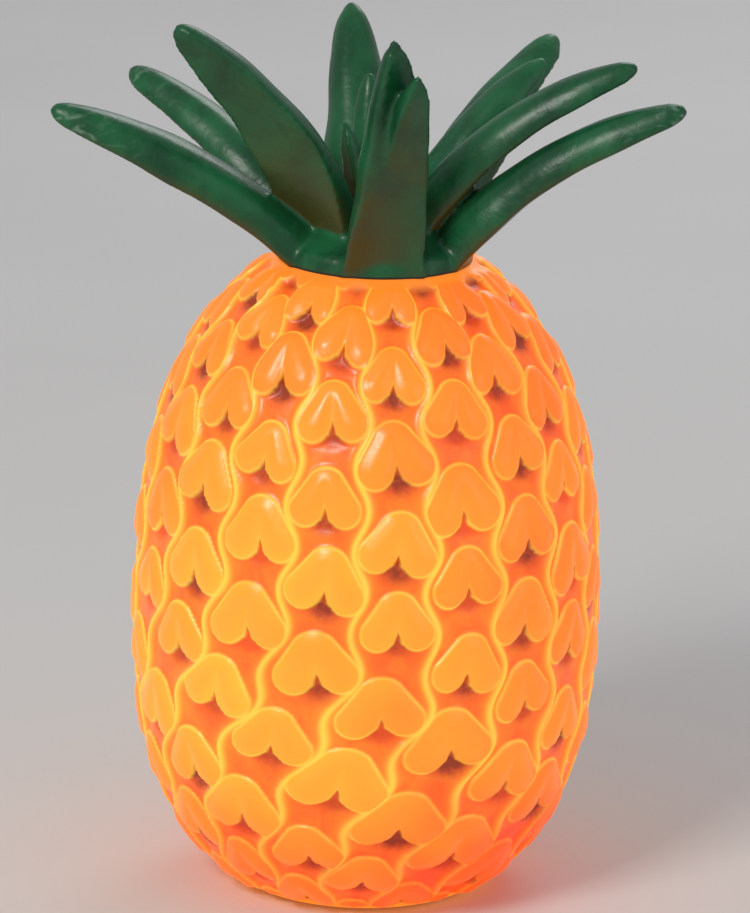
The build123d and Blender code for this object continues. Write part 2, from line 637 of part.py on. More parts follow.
def make_bulb_filament():
    """The filament, bowed upwards between the support wires."""
    end = FILAMENT_SPAN - FILAMENT_RADIUS
    path = ThreePointArc((-end, 0, BULB_CENTRE), (0, 0, BULB_CENTRE + 4), (end, 0, BULB_CENTRE))
    section = Plane(path @ 0, z_dir=path % 0) * Circle(FILAMENT_RADIUS)
    return sweep(section, path)


# --- switch ------------------------------------------------------------------------------------
def switch_box(half_width, half_height, y_span):
    """A box centred on the switch."""
    x_span = (SWITCH_X - half_width, SWITCH_X + half_width)
    return block(x_span, y_span, (NOSE_MIDDLE - half_height, NOSE_MIDDLE + half_height))


def make_switch_frame():
    """The switch's body and bezel, with a well for the rocker and blind holes for its pins."""
    half, tall = SWITCH_WIDTH / 2, SWITCH_HEIGHT / 2
    frame = switch_box(half, tall, (SWITCH_BACK, BEZEL_FACE))
    frame += switch_box(half + BEZEL_OVERLAP, tall + BEZEL_OVERLAP, (NOSE_REACH, BEZEL_FACE))
    well_floor = PIVOT_Y - ROCKER_BELOW - 5 * ROCKER_GAP
    frame -= switch_box(half - SWITCH_WALL, tall - SWITCH_WALL, (well_floor, BEZEL_FACE + 1))
    reach = tall - SWITCH_WALL - ROCKER_GAP + PIN_LENGTH + ROCKER_GAP
    return frame - rod(PIN_RADIUS + THREAD_GAP, NOSE_MIDDLE - reach, NOSE_MIDDLE + reach, SWITCH_X, PIVOT_Y)


def make_switch_rocker():
    """The rocker, tilted to its on position about its upright pins."""
    half = SWITCH_WIDTH / 2 - SWITCH_WALL - ROCKER_GAP
    tall = SWITCH_HEIGHT / 2 - SWITCH_WALL - ROCKER_GAP
    outline = Polyline(
        (-half, -ROCKER_BELOW),
        (half, -ROCKER_BELOW),
        (half, ROCKER_END),
        (0, ROCKER_CENTRE),
        (-half, ROCKER_END),
        close=True,
    )
    body = Pos(0, 0, -tall) * extrude(make_face(outline), 2 * tall)
    body = body & Cylinder(half, 2 * tall)
    body += Cylinder(PIN_RADIUS, 2 * (tall + PIN_LENGTH))
    return Pos(SWITCH_X, PIVOT_Y, NOSE_MIDDLE) * Rot(Z=-ROCKER_THROW / 2) * body


def spade_places():
    """The X of each of the switch's two terminals."""
    return (SWITCH_X - SPADE_SPREAD, SWITCH_X + SPADE_SPREAD)


def spade_box(x, half_width, half_height, y_span):
    """A box centred on one spade."""
    return block((x - half_width, x + half_width), y_span, (NOSE_MIDDLE - half_height, NOSE_MIDDLE + half_height))


def make_switch_spades():
    """The two flat terminals at the back of the switch."""
    half, thin = SPADE_WIDTH / 2, SPADE_THICKNESS / 2
    return joined([spade_box(x, half, thin, (SPADE_TIP, SWITCH_BACK)) for x in spade_places()])


def make_spade_receptacles():
    """The push-on connectors that join the leads to the spades."""
    half, thin = SPADE_WIDTH / 2, SPADE_THICKNESS / 2
    sleeves = []
    for x in spade_places():
        span = (RECEPTACLE_BACK, RECEPTACLE_BACK + RECEPTACLE_LENGTH)
        sleeve = spade_box(x, half + RECEPTACLE_WALL, LEAD_RADIUS + RECEPTACLE_WALL, span)
        sleeve -= spade_box(x, half, thin, (SPADE_TIP, SWITCH_BACK))
        sleeves.append(sleeve - rod_y(LEAD_RADIUS, RECEPTACLE_BACK - 1, LEAD_AT_SWITCH, x, NOSE_MIDDLE))
    return joined(sleeves)


# --- cord bush, terminal block and inner leads ---------------------------------------------------
def make_cord_bush():
    """The flanged bush in the nose's back wall, which the supply cord enters by."""
    bush = rod_y(BUSH_RADIUS, NOSE_WALL_INSIDE - BUSH_TAIL, NOSE_REACH, BUSH_X, NOSE_MIDDLE)
    bush += rod_y(BUSH_FLANGE_RADIUS, NOSE_REACH, NOSE_REACH + BUSH_FLANGE, BUSH_X, NOSE_MIDDLE)
    lip = (NOSE_WALL_INSIDE - BUSH_FLANGE, NOSE_WALL_INSIDE)
    bush += rod_y(BUSH_RADIUS + BUSH_LIP, *lip, BUSH_X, NOSE_MIDDLE)
    ends = (NOSE_WALL_INSIDE - BUSH_TAIL - 1, NOSE_REACH + BUSH_FLANGE + 1)
    return bush - rod_y(BUSH_BORE, *ends, BUSH_X, NOSE_MIDDLE)


def pole_places():
    """The X of each pole of the terminal block."""
    return (BLOCK_X - POLE_SPREAD, BLOCK_X + POLE_SPREAD)


def clamp_screw_places():
    """The four places where a lead is clamped in the block."""
    offset = BLOCK_LENGTH / 4
    return [(x, BLOCK_Y + side * offset) for x in pole_places() for side in (-1, 1)]


def make_terminal_block():
    """The insulating two-pole block that joins the supply cord to the inner leads."""
    half, near, far = BLOCK_WIDTH / 2, BLOCK_Y - BLOCK_LENGTH / 2, BLOCK_Y + BLOCK_LENGTH / 2
    body = block((BLOCK_X - half, BLOCK_X + half), (near, far), (BLOCK_BOTTOM, BLOCK_TOP))
    for x in pole_places():
        body -= rod_y(INSERT_RADIUS, near - 1, far + 1, x, POLE_HEIGHT)
    for x, y in clamp_screw_places():
        body -= rod(CLAMP_SCREW_RADIUS + FIT_GAP, BLOCK_BOTTOM - 1, POLE_HEIGHT, x, y)
    return body - rod(SCREW_RADIUS + FIT_GAP, BLOCK_BOTTOM - 1, BLOCK_TOP + 1, BLOCK_X, BLOCK_Y)


def make_block_inserts():
    """The brass tubes inside the block's poles."""
    near, far = BLOCK_Y - BLOCK_LENGTH / 2 + 1, BLOCK_Y + BLOCK_LENGTH / 2 - 1
    inserts = []
    for x in pole_places():
        insert = rod_y(INSERT_RADIUS, near, far, x, POLE_HEIGHT)
        insert -= rod_y(LEAD_RADIUS, near - 1, far + 1, x, POLE_HEIGHT)
        for screw_x, y in clamp_screw_places():
            if screw_x == x:
                insert -= rod(CLAMP_SCREW_RADIUS, BLOCK_BOTTOM, POLE_HEIGHT, x, y)
        inserts.append(insert)
    return joined(inserts)


def make_block_clamp_screws():
    """The four screws that clamp the leads in the block."""
    top = POLE_HEIGHT - LEAD_RADIUS - THREAD_GAP
    return joined([rod(CLAMP_SCREW_RADIUS, top - CLAMP_SCREW_LENGTH, top, x, y) for x, y in clamp_screw_places()])


def make_block_screw():
    """The screw that hangs the block from its boss."""
    return screw_up(BLOCK_X, BLOCK_Y, BLOCK_BOTTOM, BLOCK_HEIGHT + 3)


def lead(points):
    """A lead along straight runs joined by tangent arcs, each as large as its shorter run allows."""
    radii = []
    for before, corner, after in zip(points, points[1:], points[2:]):
        run_in, run_out = Vector(corner) - Vector(before), Vector(after) - Vector(corner)
        half_turn = math.radians(run_in.get_angle(run_out)) / 2
        radii.append(0.45 * min(run_in.length, run_out.length) / math.tan(half_turn))
    path = FilletPolyline(*points, radius=radii)
    tube_solid = sweep(Plane(path @ 0, z_dir=path % 0) * Circle(LEAD_RADIUS), path)
    print(f"lead length {path.length:.1f}, radii {[round(r, 1) for r in radii]}")
    return tube_solid


def holder_route(side):
    """The last points of a lead, up through the nipple to a post on one side."""
    inside = side * (LEAD_RADIUS + 0.55)
    above = HOUSING_TOP + NIPPLE_ABOVE + 1
    return [
        (inside, 0, POLE_HEIGHT + 2),
        (inside, 0, above),
        (side * POST_SPREAD, 0, above + 3.4),
        (side * POST_SPREAD, 0, LEAD_AT_POST),
    ]


def make_live_lead():
    """The lead from the switch's inner terminal to the lampholder."""
    x = spade_places()[0]
    start = [(x, LEAD_AT_SWITCH, NOSE_MIDDLE), (x, LEAD_AT_SWITCH - 28, NOSE_MIDDLE)]
    return lead(start + holder_route(1))


def make_neutral_lead():
    """The lead from the block's inner pole to the lampholder."""
    x, near = pole_places()[1], BLOCK_Y - BLOCK_LENGTH / 2
    return lead([(x, near + 7, POLE_HEIGHT), (x, near - 9, POLE_HEIGHT)] + holder_route(-1))


def make_switch_lead():
    """The lead from the block's outer pole, under the nipple, to the switch's outer terminal."""
    start_x, near = pole_places()[0], BLOCK_Y - BLOCK_LENGTH / 2
    end_x = spade_places()[1]
    low = COVER_TOP + 3.5
    return lead(
        [
            (start_x, near + 7, POLE_HEIGHT),
            (start_x, near - 9, POLE_HEIGHT),
            (start_x + 9, near - 19, low + 0.5),
            (end_x - 8, near - 16, low),
            (end_x, near - 1, low + 1),
            (end_x, near + 12, NOSE_MIDDLE),
            (end_x, LEAD_AT_SWITCH, NOSE_MIDDLE),
        ]
    )


PIECES = {
    "shell_floor": make_shell_floor,
    "neck_ring": make_neck_ring,
    "leaf_crown": make_leaf_crown,
    "crown_spigot": make_crown_spigot,
    "base_housing": make_base_housing,
    "base_cover": make_base_cover,
    "foot_ring": make_foot_ring,
    "cover_screws": make_cover_screws,
    "threaded_nipple": make_threaded_nipple,
    "nipple_nut": make_nipple_nut,
    "lock_washer": make_lock_washer,
    "holder_cap": make_holder_cap,
    "holder_core": make_holder_core,
    "holder_skirt": make_holder_skirt,
    "thread_sleeve": make_thread_sleeve,
    "centre_contact": make_centre_contact,
    "holder_terminals": make_holder_terminals,
    "terminal_clamp_screws": make_terminal_clamp_screws,
    "bulb_glass": make_bulb_glass,
    "bulb_cap": make_bulb_cap,
    "bulb_insulator": make_bulb_insulator,
    "bulb_contact": make_bulb_contact,
    "bulb_stem": make_bulb_stem,
    "bulb_support_wires": make_bulb_support_wires,
    "bulb_filament": make_bulb_filament,
    "switch_frame": make_switch_frame,
    "switch_rocker": make_switch_rocker,
    "switch_spades": make_switch_spades,
    "spade_receptacles": make_spade_receptacles,
    "cord_bush": make_cord_bush,
    "terminal_block": make_terminal_block,
    "block_inserts": make_block_inserts,
    "block_clamp_screws": make_block_clamp_screws,
    "block_screw": make_block_screw,
    "live_lead": make_live_lead,
    "neutral_lead": make_neutral_lead,
    "switch_lead": make_switch_lead,
}

os.makedirs("parts", exist_ok=True)
for name, make in PIECES.items():
    export_step(make(), f"parts/{name}.step")
for number in range(STAVE_COUNT):
    export_step(make_wall_stave(number), f"parts/wall_stave_{number + 1:02d}.step")
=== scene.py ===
"""A lit pineapple table lamp, dressed around its fixed frame.

The fruit shell and the leaf crown are made here; the other pieces are the frame's own, with a
finish for each. Metres, +Z up, the lamp's front towards -Y.
"""

import logging
import math
from dataclasses import dataclass, field
from enum import Enum
from typing import Any, Iterable, Union

import bmesh
import bpy
import numpy as np
from mathutils import Matrix, Vector


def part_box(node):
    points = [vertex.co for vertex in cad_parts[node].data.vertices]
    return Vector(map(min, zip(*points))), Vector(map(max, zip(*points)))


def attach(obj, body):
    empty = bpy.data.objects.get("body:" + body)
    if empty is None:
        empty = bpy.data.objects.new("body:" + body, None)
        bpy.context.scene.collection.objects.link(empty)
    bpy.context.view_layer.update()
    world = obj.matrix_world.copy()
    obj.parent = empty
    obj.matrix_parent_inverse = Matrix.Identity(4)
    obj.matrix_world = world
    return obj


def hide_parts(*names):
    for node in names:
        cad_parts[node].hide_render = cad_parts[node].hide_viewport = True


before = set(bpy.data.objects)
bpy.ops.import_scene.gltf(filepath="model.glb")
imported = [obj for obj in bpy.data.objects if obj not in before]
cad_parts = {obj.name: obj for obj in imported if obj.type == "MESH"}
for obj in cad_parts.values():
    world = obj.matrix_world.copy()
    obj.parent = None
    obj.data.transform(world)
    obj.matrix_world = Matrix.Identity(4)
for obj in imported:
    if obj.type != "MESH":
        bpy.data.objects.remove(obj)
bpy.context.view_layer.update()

log = logging.getLogger("pineapple_lamp")

MM = 0.001
Number = Union[float, "Signal"]
Colour = tuple[float, float, float, float]


def tone(red: int, green: int, blue: int) -> Colour:
    """A shader colour from screen values of 0 to 255."""
    return tuple(_linear(value / 255) for value in (red, green, blue)) + (1.0,)


def _linear(value: float) -> float:
    """One screen value from 0 to 1 as light."""
    return value / 12.92 if value <= 0.04045 else ((value + 0.055) / 1.055) ** 2.4


# --- node boards -------------------------------------------------------------------------------
class Board:
    """A node tree of a material or of Geometry Nodes, and the ways to add to it."""

    def __init__(self, tree: bpy.types.NodeTree) -> None:
        """Args: tree: the tree to add to."""
        self.tree = tree

    def node(self, kind: str, settings: dict[str, Any] | None = None, **sockets: Any) -> bpy.types.Node:
        """Adds a node.

        Args:
            kind: the node's type name.
            settings: attributes that are set first; "stops" holds a ramp's places and colours.
            **sockets: a value or a link for each input, by its name with _ for a space, or by in0, in1...

        Returns:
            The new node.
        """
        node = self.tree.nodes.new(kind)
        for key, value in (settings or {}).items():
            if key == "stops":
                self._set_stops(node.color_ramp, value)
            else:
                setattr(node, key, value)
        for key, value in sockets.items():
            self.join(node, key, value)
        return node

    @staticmethod
    def _set_stops(ramp: bpy.types.ColorRamp, stops: list[tuple[float, Colour]]) -> None:
        """Gives a ramp its stops."""
        while len(ramp.elements) < len(stops):
            ramp.elements.new(1.0)
        for element, (place, colour) in zip(ramp.elements, stops):
            element.position, element.color = place, colour

    def join(self, node: bpy.types.Node, key: str, value: Any) -> None:
        """Sets or links one input.

        Args:
            node: the node.
            key: the input's name with _ for a space, or in0, in1... for its place.
            value: a number, colour, vector, material, object, socket or Signal.
        """
        if key.startswith("in") and key[2:].isdigit():
            socket = node.inputs[int(key[2:])]
        else:
            socket = next(s for s in node.inputs if s.name == key.replace("_", " ") and s.enabled)
        if isinstance(value, Signal):
            value = value.socket
        if isinstance(value, bpy.types.NodeSocket):
            self.tree.links.new(value, socket)
        else:
            socket.default_value = value

    def split(self, vector: bpy.types.NodeSocket) -> tuple["Signal", "Signal", "Signal"]:
        """The three numbers of a vector."""
        parts = self.node("ShaderNodeSeparateXYZ", in0=vector)
        return tuple(Signal(self, parts.outputs[axis]) for axis in range(3))

    def math(self, operation: str, *values: Number) -> "Signal":
        """Adds a Math node on up to three numbers and returns its result."""
        inputs = {f"in{i}": value for i, value in enumerate(values)}
        return Signal(self, self.node("ShaderNodeMath", {"operation": operation}, **inputs).outputs[0])


class Signal:
    """A number that varies over a surface. Its operators add Math nodes to its board."""

    def __init__(self, board: Board, socket: bpy.types.NodeSocket) -> None:
        """Args: board: where nodes are added; socket: the output that holds the number."""
        self.board, self.socket = board, socket

    def __add__(self, other: Number) -> "Signal":
        """self + other"""
        return self.board.math("ADD", self, other)

    __radd__ = __add__

    def __sub__(self, other: Number) -> "Signal":
        """self - other"""
        return self.board.math("SUBTRACT", self, other)

    def __rsub__(self, other: Number) -> "Signal":
        """other - self"""
        return self.board.math("SUBTRACT", other, self)

    def __mul__(self, other: Number) -> "Signal":
        """self * other"""
        return self.board.math("MULTIPLY", self, other)

    __rmul__ = __mul__

    def __truediv__(self, other: Number) -> "Signal":
        """self / other"""
        return self.board.math("DIVIDE", self, other)

    def __pow__(self, power: Number) -> "Signal":
        """self ** power"""
        return self.board.math("POWER", self, power)

    def __abs__(self) -> "Signal":
        """The size of the number without its sign."""
        return self.board.math("ABSOLUTE", self)

    def __mod__(self, period: float) -> "Signal":
        """The remainder, which is never negative."""
        return self.board.math("FLOORED_MODULO", self, period)

    def sin(self) -> "Signal":
        """The sine, of radians."""
        return self.board.math("SINE", self)

    def cos(self) -> "Signal":
        """The cosine, of radians."""
        return self.board.math("COSINE", self)

    def nearest(self) -> "Signal":
        """The nearest whole number."""
        return self.board.math("FLOOR", self + 0.5)

    def root(self) -> "Signal":
        """The square root."""
        return self.board.math("SQRT", self)

    def at_most(self, other: Number) -> "Signal":
        """The smaller of the two."""
        return self.board.math("MINIMUM", self, other)

    def at_least(self, other: Number) -> "Signal":
        """The larger of the two."""
        return self.board.math("MAXIMUM", self, other)

    def bell(self, width: float) -> "Signal":
        """1 at zero, falling off to nothing past about two widths either side."""
        scaled = self * (1 / width)
        return self.board.math("EXPONENT", scaled * scaled * -1.0)

    def rise(self, low: float, high: float) -> "Signal":
        """A smooth step.

        Args:
            low: where it leaves 0.
            high: where it reaches 1; it may lie below low, and the step then falls.

        Returns:
            A number from 0 to 1.
        """
        flip = high < low
        span = {"in1": min(low, high), "in2": max(low, high), "in3": float(flip), "in4": float(not flip)}
        settings = {"data_type": "FLOAT", "interpolation_type": "SMOOTHSTEP", "clamp": True}
        step = self.board.node("ShaderNodeMapRange", settings, in0=self, **span)
        return Signal(self.board, step.outputs[0])


class Finish(Board):
    """A material's node tree, with the nodes that every finish shares."""

    def __init__(self, name: str) -> None:
        """Args: name: the material's name."""
        self.material = bpy.data.materials.new(name)
        self.material.use_nodes = True
        super().__init__(self.material.node_tree)
        self.tree.nodes.clear()
        self.place = self.node("ShaderNodeTexCoord").outputs["Object"]

    def axes(self) -> tuple[Signal, Signal, Signal]:
        """The place on the piece as three numbers, in metres."""
        return self.split(self.place)

    def noise(
        self, per_metre: float, detail: float = 3.0, stretch: tuple = (1, 1, 1), swirl: float = 0.0
    ) -> Signal:
        """Smooth noise from 0 to 1.

        Args:
            per_metre: how many bumps to the metre.
            detail: how many finer octaves.
            stretch: the pattern's scale along each axis.
            swirl: how strongly it is distorted.

        Returns:
            The noise.
        """
        mapped = self.node("ShaderNodeMapping", in0=self.place, Scale=stretch).outputs[0]
        look = dict(Scale=per_metre, Detail=detail, Roughness=0.55, Distortion=swirl)
        return Signal(self, self.node("ShaderNodeTexNoise", Vector=mapped, **look).outputs[0])

    def grains(self, per_metre: float) -> Signal:
        """The distance to the nearest of scattered points, for pits and specks."""
        return Signal(self, self.node("ShaderNodeTexVoronoi", in0=self.place, Scale=per_metre).outputs[0])

    def blend(self, share: Number, first: Any, second: Any, how: str = "MIX") -> bpy.types.NodeSocket:
        """Mixes two colours.

        Args:
            share: how much of the second.
            first: a colour or a socket.
            second: a colour or a socket.
            how: the blend type.

        Returns:
            The mixed colour's socket.
        """
        node = self.node("ShaderNodeMix", {"data_type": "RGBA", "blend_type": how})
        for place, value in ((0, share), (6, first), (7, second)):
            self.join(node, f"in{place}", value)
        return node.outputs[2]

    def bump(self, height: Number, depth: float, strength: float = 1.0) -> bpy.types.NodeSocket:
        """A bumped normal for a height from 0 to 1 that stands depth metres high."""
        return self.node("ShaderNodeBump", Height=height, Distance=depth, Strength=strength).outputs[0]

    def shade(self, **sockets: Any) -> bpy.types.Material:
        """Ends the tree in a Principled shader with these inputs, and returns the material."""
        shader = self.node("ShaderNodeBsdfPrincipled", **sockets)
        output = self.node("ShaderNodeOutputMaterial")
        self.tree.links.new(shader.outputs[0], output.inputs[0])
        return self.material


# --- plain finishes ----------------------------------------------------------------------------
@dataclass(frozen=True)
class MouldedPlastic:
    """Spark-textured or polished moulding with faint flow marks and wear."""

    name: str
    colour: Colour
    shadow: Colour
    roughness: float = 0.5
    grain: float = 2600.0
    depth: float = 0.00004

    def material(self) -> bpy.types.Material:
        """Builds the finish."""
        finish = Finish(self.name)
        clouds = finish.noise(45, 4, swirl=0.4)
        specks = finish.grains(self.grain).rise(0.05, 0.5)
        colour = finish.blend(clouds.rise(0.3, 0.75), self.shadow, self.colour)
        colour = finish.blend(specks * 0.06, colour, self.shadow)
        height = specks * 0.6 + finish.noise(700, 2) * 0.4
        rough = self.roughness + (clouds - 0.5) * 0.22 + (specks - 0.5) * 0.08
        return finish.shade(Base_Color=colour, Roughness=rough, Normal=finish.bump(height, self.depth))


@dataclass(frozen=True)
class MarkedRocker(MouldedPlastic):
    """The rocker's moulding, with a white bar on one half and a ring on the other."""

    bar_half: float = 1.5 * MM
    ring_radius: float = 1.25 * MM
    line_half: float = 0.24 * MM
    soft: float = 0.06 * MM

    def material(self) -> bpy.types.Material:
        """Builds the finish."""
        finish = Finish(self.name)
        low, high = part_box("switch_rocker")
        middle, reach = (low + high) / 2, (high.x - low.x) / 4
        x, _, z = finish.axes()
        across, up = x - middle.x, z - middle.z
        beside = (across - reach) * (across - reach) + up * up
        ring = self.line(abs(beside.root() - self.ring_radius))
        bar = self.line(abs(across + reach)) * abs(up).rise(self.bar_half + self.soft, self.bar_half)
        paint = ring.at_least(bar)
        specks = finish.grains(self.grain).rise(0.05, 0.5)
        colour = finish.blend(finish.noise(60, 4).rise(0.3, 0.75), self.shadow, self.colour)
        colour = finish.blend(paint * 0.9, colour, tone(226, 226, 222))
        rough = self.roughness + paint * 0.2 + (specks - 0.5) * 0.08
        normal = finish.bump(specks * 0.3 + paint * 0.7, self.depth)
        return finish.shade(Base_Color=colour, Roughness=rough, Normal=normal)

    def line(self, away: Signal) -> Signal:
        """1 within a painted line's half width, with a soft edge."""
        return away.rise(self.line_half + self.soft, self.line_half)


@dataclass(frozen=True)
class MouldedRubber:
    """Matt rubber with dust in its pores."""

    name: str = "foot_rubber"

    def material(self) -> bpy.types.Material:
        """Builds the finish."""
        finish = Finish(self.name)
        pores = finish.grains(3200).rise(0.0, 0.45)
        dust = finish.noise(160, 5).rise(0.45, 0.8)
        colour = finish.blend(dust * 0.35, tone(34, 33, 32), tone(92, 88, 82))
        rough = 0.82 + dust * 0.12
        height = pores * 0.7 + dust * 0.3
        return finish.shade(Base_Color=colour, Roughness=rough, Normal=finish.bump(height, 0.00006))


@dataclass(frozen=True)
class Metal:
    """Plated, spun or plain metal with turning lines, stains and fine scratches."""

    name: str
    colour: Colour
    stain: Colour
    roughness: float = 0.3
    turned: float = 5200.0

    def material(self) -> bpy.types.Material:
        """Builds the finish."""
        finish = Finish(self.name)
        lines = finish.noise(self.turned, 2, stretch=(0.06, 0.06, 1.0))
        scratches = finish.noise(900, 4, stretch=(1.0, 0.12, 0.12), swirl=0.6)
        stains = finish.noise(260, 5, swirl=0.8).rise(0.5, 0.8)
        colour = finish.blend(stains * 0.45, self.colour, self.stain)
        colour = finish.blend(lines * 0.12, colour, self.stain)
        rough = self.roughness + stains * 0.18 + (scratches - 0.5) * 0.16
        height = lines * 0.6 + scratches * 0.4
        normal = finish.bump(height, 0.00002)
        return finish.shade(Base_Color=colour, Metallic=1.0, Roughness=rough, Normal=normal)


@dataclass(frozen=True)
class Ceramic:
    """Unglazed steatite or fused glass with speckles and pits."""

    name: str
    colour: Colour
    speck: Colour
    roughness: float = 0.6

    def material(self) -> bpy.types.Material:
        """Builds the finish."""
        finish = Finish(self.name)
        specks = finish.grains(1500).rise(0.16, 0.05)
        clouds = finish.noise(180, 4)
        colour = finish.blend(specks * 0.6 + clouds * 0.2, self.colour, self.speck)
        rough = self.roughness + (clouds - 0.5) * 0.2
        height = finish.noise(2400, 3) - specks * 0.5
        return finish.shade(Base_Color=colour, Roughness=rough, Normal=finish.bump(height, 0.00003))


@dataclass(frozen=True)
class ClearGlass:
    """Thin blown glass with a faint warm tint, smudges and slight ripples."""

    name: str = "bulb_glass"

    def material(self) -> bpy.types.Material:
        """Builds the finish."""
        finish = Finish(self.name)
        ripple = finish.noise(90, 3, swirl=0.5)
        smudge = finish.noise(240, 5).rise(0.55, 0.85)
        colour = finish.blend(ripple, tone(255, 250, 242), tone(250, 240, 226))
        rough = 0.015 + smudge * 0.06
        glass = dict(IOR=1.46, Transmission_Weight=1.0, Normal=finish.bump(ripple, 0.0002))
        return finish.shade(Base_Color=colour, Roughness=rough, **glass)


@dataclass(frozen=True)
class GlowingWire:
    """Coiled tungsten at working heat, cooler where the coil's turns shade each other."""

    name: str = "filament"

    def material(self) -> bpy.types.Material:
        """Builds the finish."""
        finish = Finish(self.name)
        along, _, _ = finish.axes()
        turns = (along * 9000).sin() * 0.5 + 0.5
        colour = finish.blend(turns, tone(255, 176, 84), tone(255, 226, 160))
        dark = finish.blend(turns, tone(90, 60, 40), tone(140, 110, 80))
        return finish.shade(Base_Color=dark, Roughness=0.5, Emission_Color=colour, Emission_Strength=14.0)


@dataclass(frozen=True)
class LeadSleeve:
    """Soft extruded insulation with a slight sheen and handling marks."""

    name: str
    colour: Colour
    shadow: Colour

    def material(self) -> bpy.types.Material:
        """Builds the finish."""
        finish = Finish(self.name)
        marks = finish.noise(700, 4, swirl=0.5)
        colour = finish.blend(marks.rise(0.35, 0.7), self.shadow, self.colour)
        rough = 0.42 + (marks - 0.5) * 0.3
        return finish.shade(Base_Color=colour, Roughness=rough, Normal=finish.bump(marks, 0.00003))


# --- fruit shell -------------------------------------------------------------------------------
@dataclass(frozen=True)
class HeartLattice:
    """The rule of the fruit's relief: columns of hearts between wavy raised lines.

    Lengths are millimetres along the skin. A column's hearts stand half a step from its
    neighbours', and every heart is a little different in place, tilt and size.
    """

    columns: int = 20
    pitch: float = 31.4  # from one heart to the next in a column
    first: float = 14.1  # the first heart's middle above the foot rim, in the even columns
    turn: float = 7.5  # degrees from the front to the middle of column 0
    column_width: float = 28.0
    wave: float = 2.9  # how far a raised line swings to each side
    wave_lag: float = 4.5  # a column is widest this far below its heart's middle
    drift: float = 27.7  # degrees that the columns bend round towards the foot
    drift_start: float = 130.0  # how far up the bend begins, and by how much that swings round the fruit
    drift_swing: float = 42.0
    drift_span: float = 133.0
    row_offset: float = 1.6  # a heart's own patch reaches further below it than above
    crest: float = 3.4  # height of the heart's upper circle
    crest_radius: float = 8.6
    lobe_out: float = 8.1
    lobe_down: float = 5.2
    lobe_radius: float = 6.9
    notch_top: float = -4.4
    notch_slope: float = 0.36
    length: float = 274.3
    heart_rise: float = 1.2
    dome: float = 1.6
    line_rise: float = 1.9
    hollow: float = 0.9

    def read(self, board: Board, x: Signal, y: Signal, rise: Signal, girth: Signal) -> "HeartReading":
        """Works out where a point of the skin lies in the pattern.

        Args:
            board: the tree to add to.
            x, y: the point's place across the lamp, in metres.
            rise: its distance along the skin from the foot rim.
            girth: how wide the fruit is there, from 0 to 1.

        Returns:
            What the relief and the colour are made from.
        """
        angle = board.math("ARCTAN2", x, y * -1.0) * (180 / math.pi)
        even = (angle - self.turn) * (self.columns / 360)
        lattice = even + self._bend(angle, rise)
        swing = ((rise - (self.first - self.wave_lag)) * (2 * math.pi / self.pitch)).cos()
        swing = swing + ((rise * 0.11) + lattice * math.pi).sin() * 0.16
        warped = lattice - swing * (lattice * math.pi).sin() * (self.wave / self.column_width)
        column = warped.nearest()
        start = (column % 2) * (self.pitch / 2) + self.first
        row = ((rise - start + self.row_offset) * (1 / self.pitch)).nearest()
        up = rise - start - row * self.pitch
        wide = girth * self.column_width
        across = (even + self._bend(angle, rise - up * 0.85) - column) * wide
        line_gap = (0.5 - abs(warped - column)) * wide
        return self._heart(across, up, column % self.columns, row, line_gap, angle, rise)

    def _bend(self, angle: Signal, rise: Signal) -> Signal:
        """How many columns further round the pattern lies at this height."""
        top = self.drift_start - ((angle - 7.0) * (math.pi / 180)).sin() * self.drift_swing
        return ((top - rise) * (1 / self.drift_span)).rise(0.0, 1.0) * (self.drift * self.columns / 360)

    def _heart(
        self, x: Signal, y: Signal, column: Signal, row: Signal, gap: Signal, angle: Signal, rise: Signal
    ) -> "HeartReading":
        """Measures a point against its own heart, which has its own place, tilt and size."""
        lean = (column * 3.7 + row * 2.3).sin() * 0.13
        shift_x = (column * 2.4 + row * 1.7).sin() * 1.3
        shift_y = (column * 1.3 + row * 3.1 + 1.0).sin() * 1.2
        size = 1.0 + (column * 5.1 + row * 4.3).sin() * 0.07
        plump = (column * 4.1 + row * 2.9 + 2.0).sin()
        local_x = (x - shift_x + lean * y) / size
        local_y = (y - shift_y - lean * x) / size
        side = abs(local_x)
        rel_y = local_y - self.crest
        span_x, span_y = self.lobe_out, -self.lobe_down - self.crest
        along = (side * span_x + rel_y * span_y) * (1 / (span_x**2 + span_y**2))
        along = along.at_least(0.0).at_most(1.0)
        off_x, off_y = side - along * span_x, rel_y - along * span_y
        radius = along * (self.lobe_radius - self.crest_radius) + self.crest_radius + plump * 0.35
        edge = (off_x * off_x + off_y * off_y).root() - radius
        edge = edge.at_least((self.notch_top - local_y) * self.notch_slope - side)
        return HeartReading(self, edge * size, local_x, local_y, gap, column, row, angle, rise)


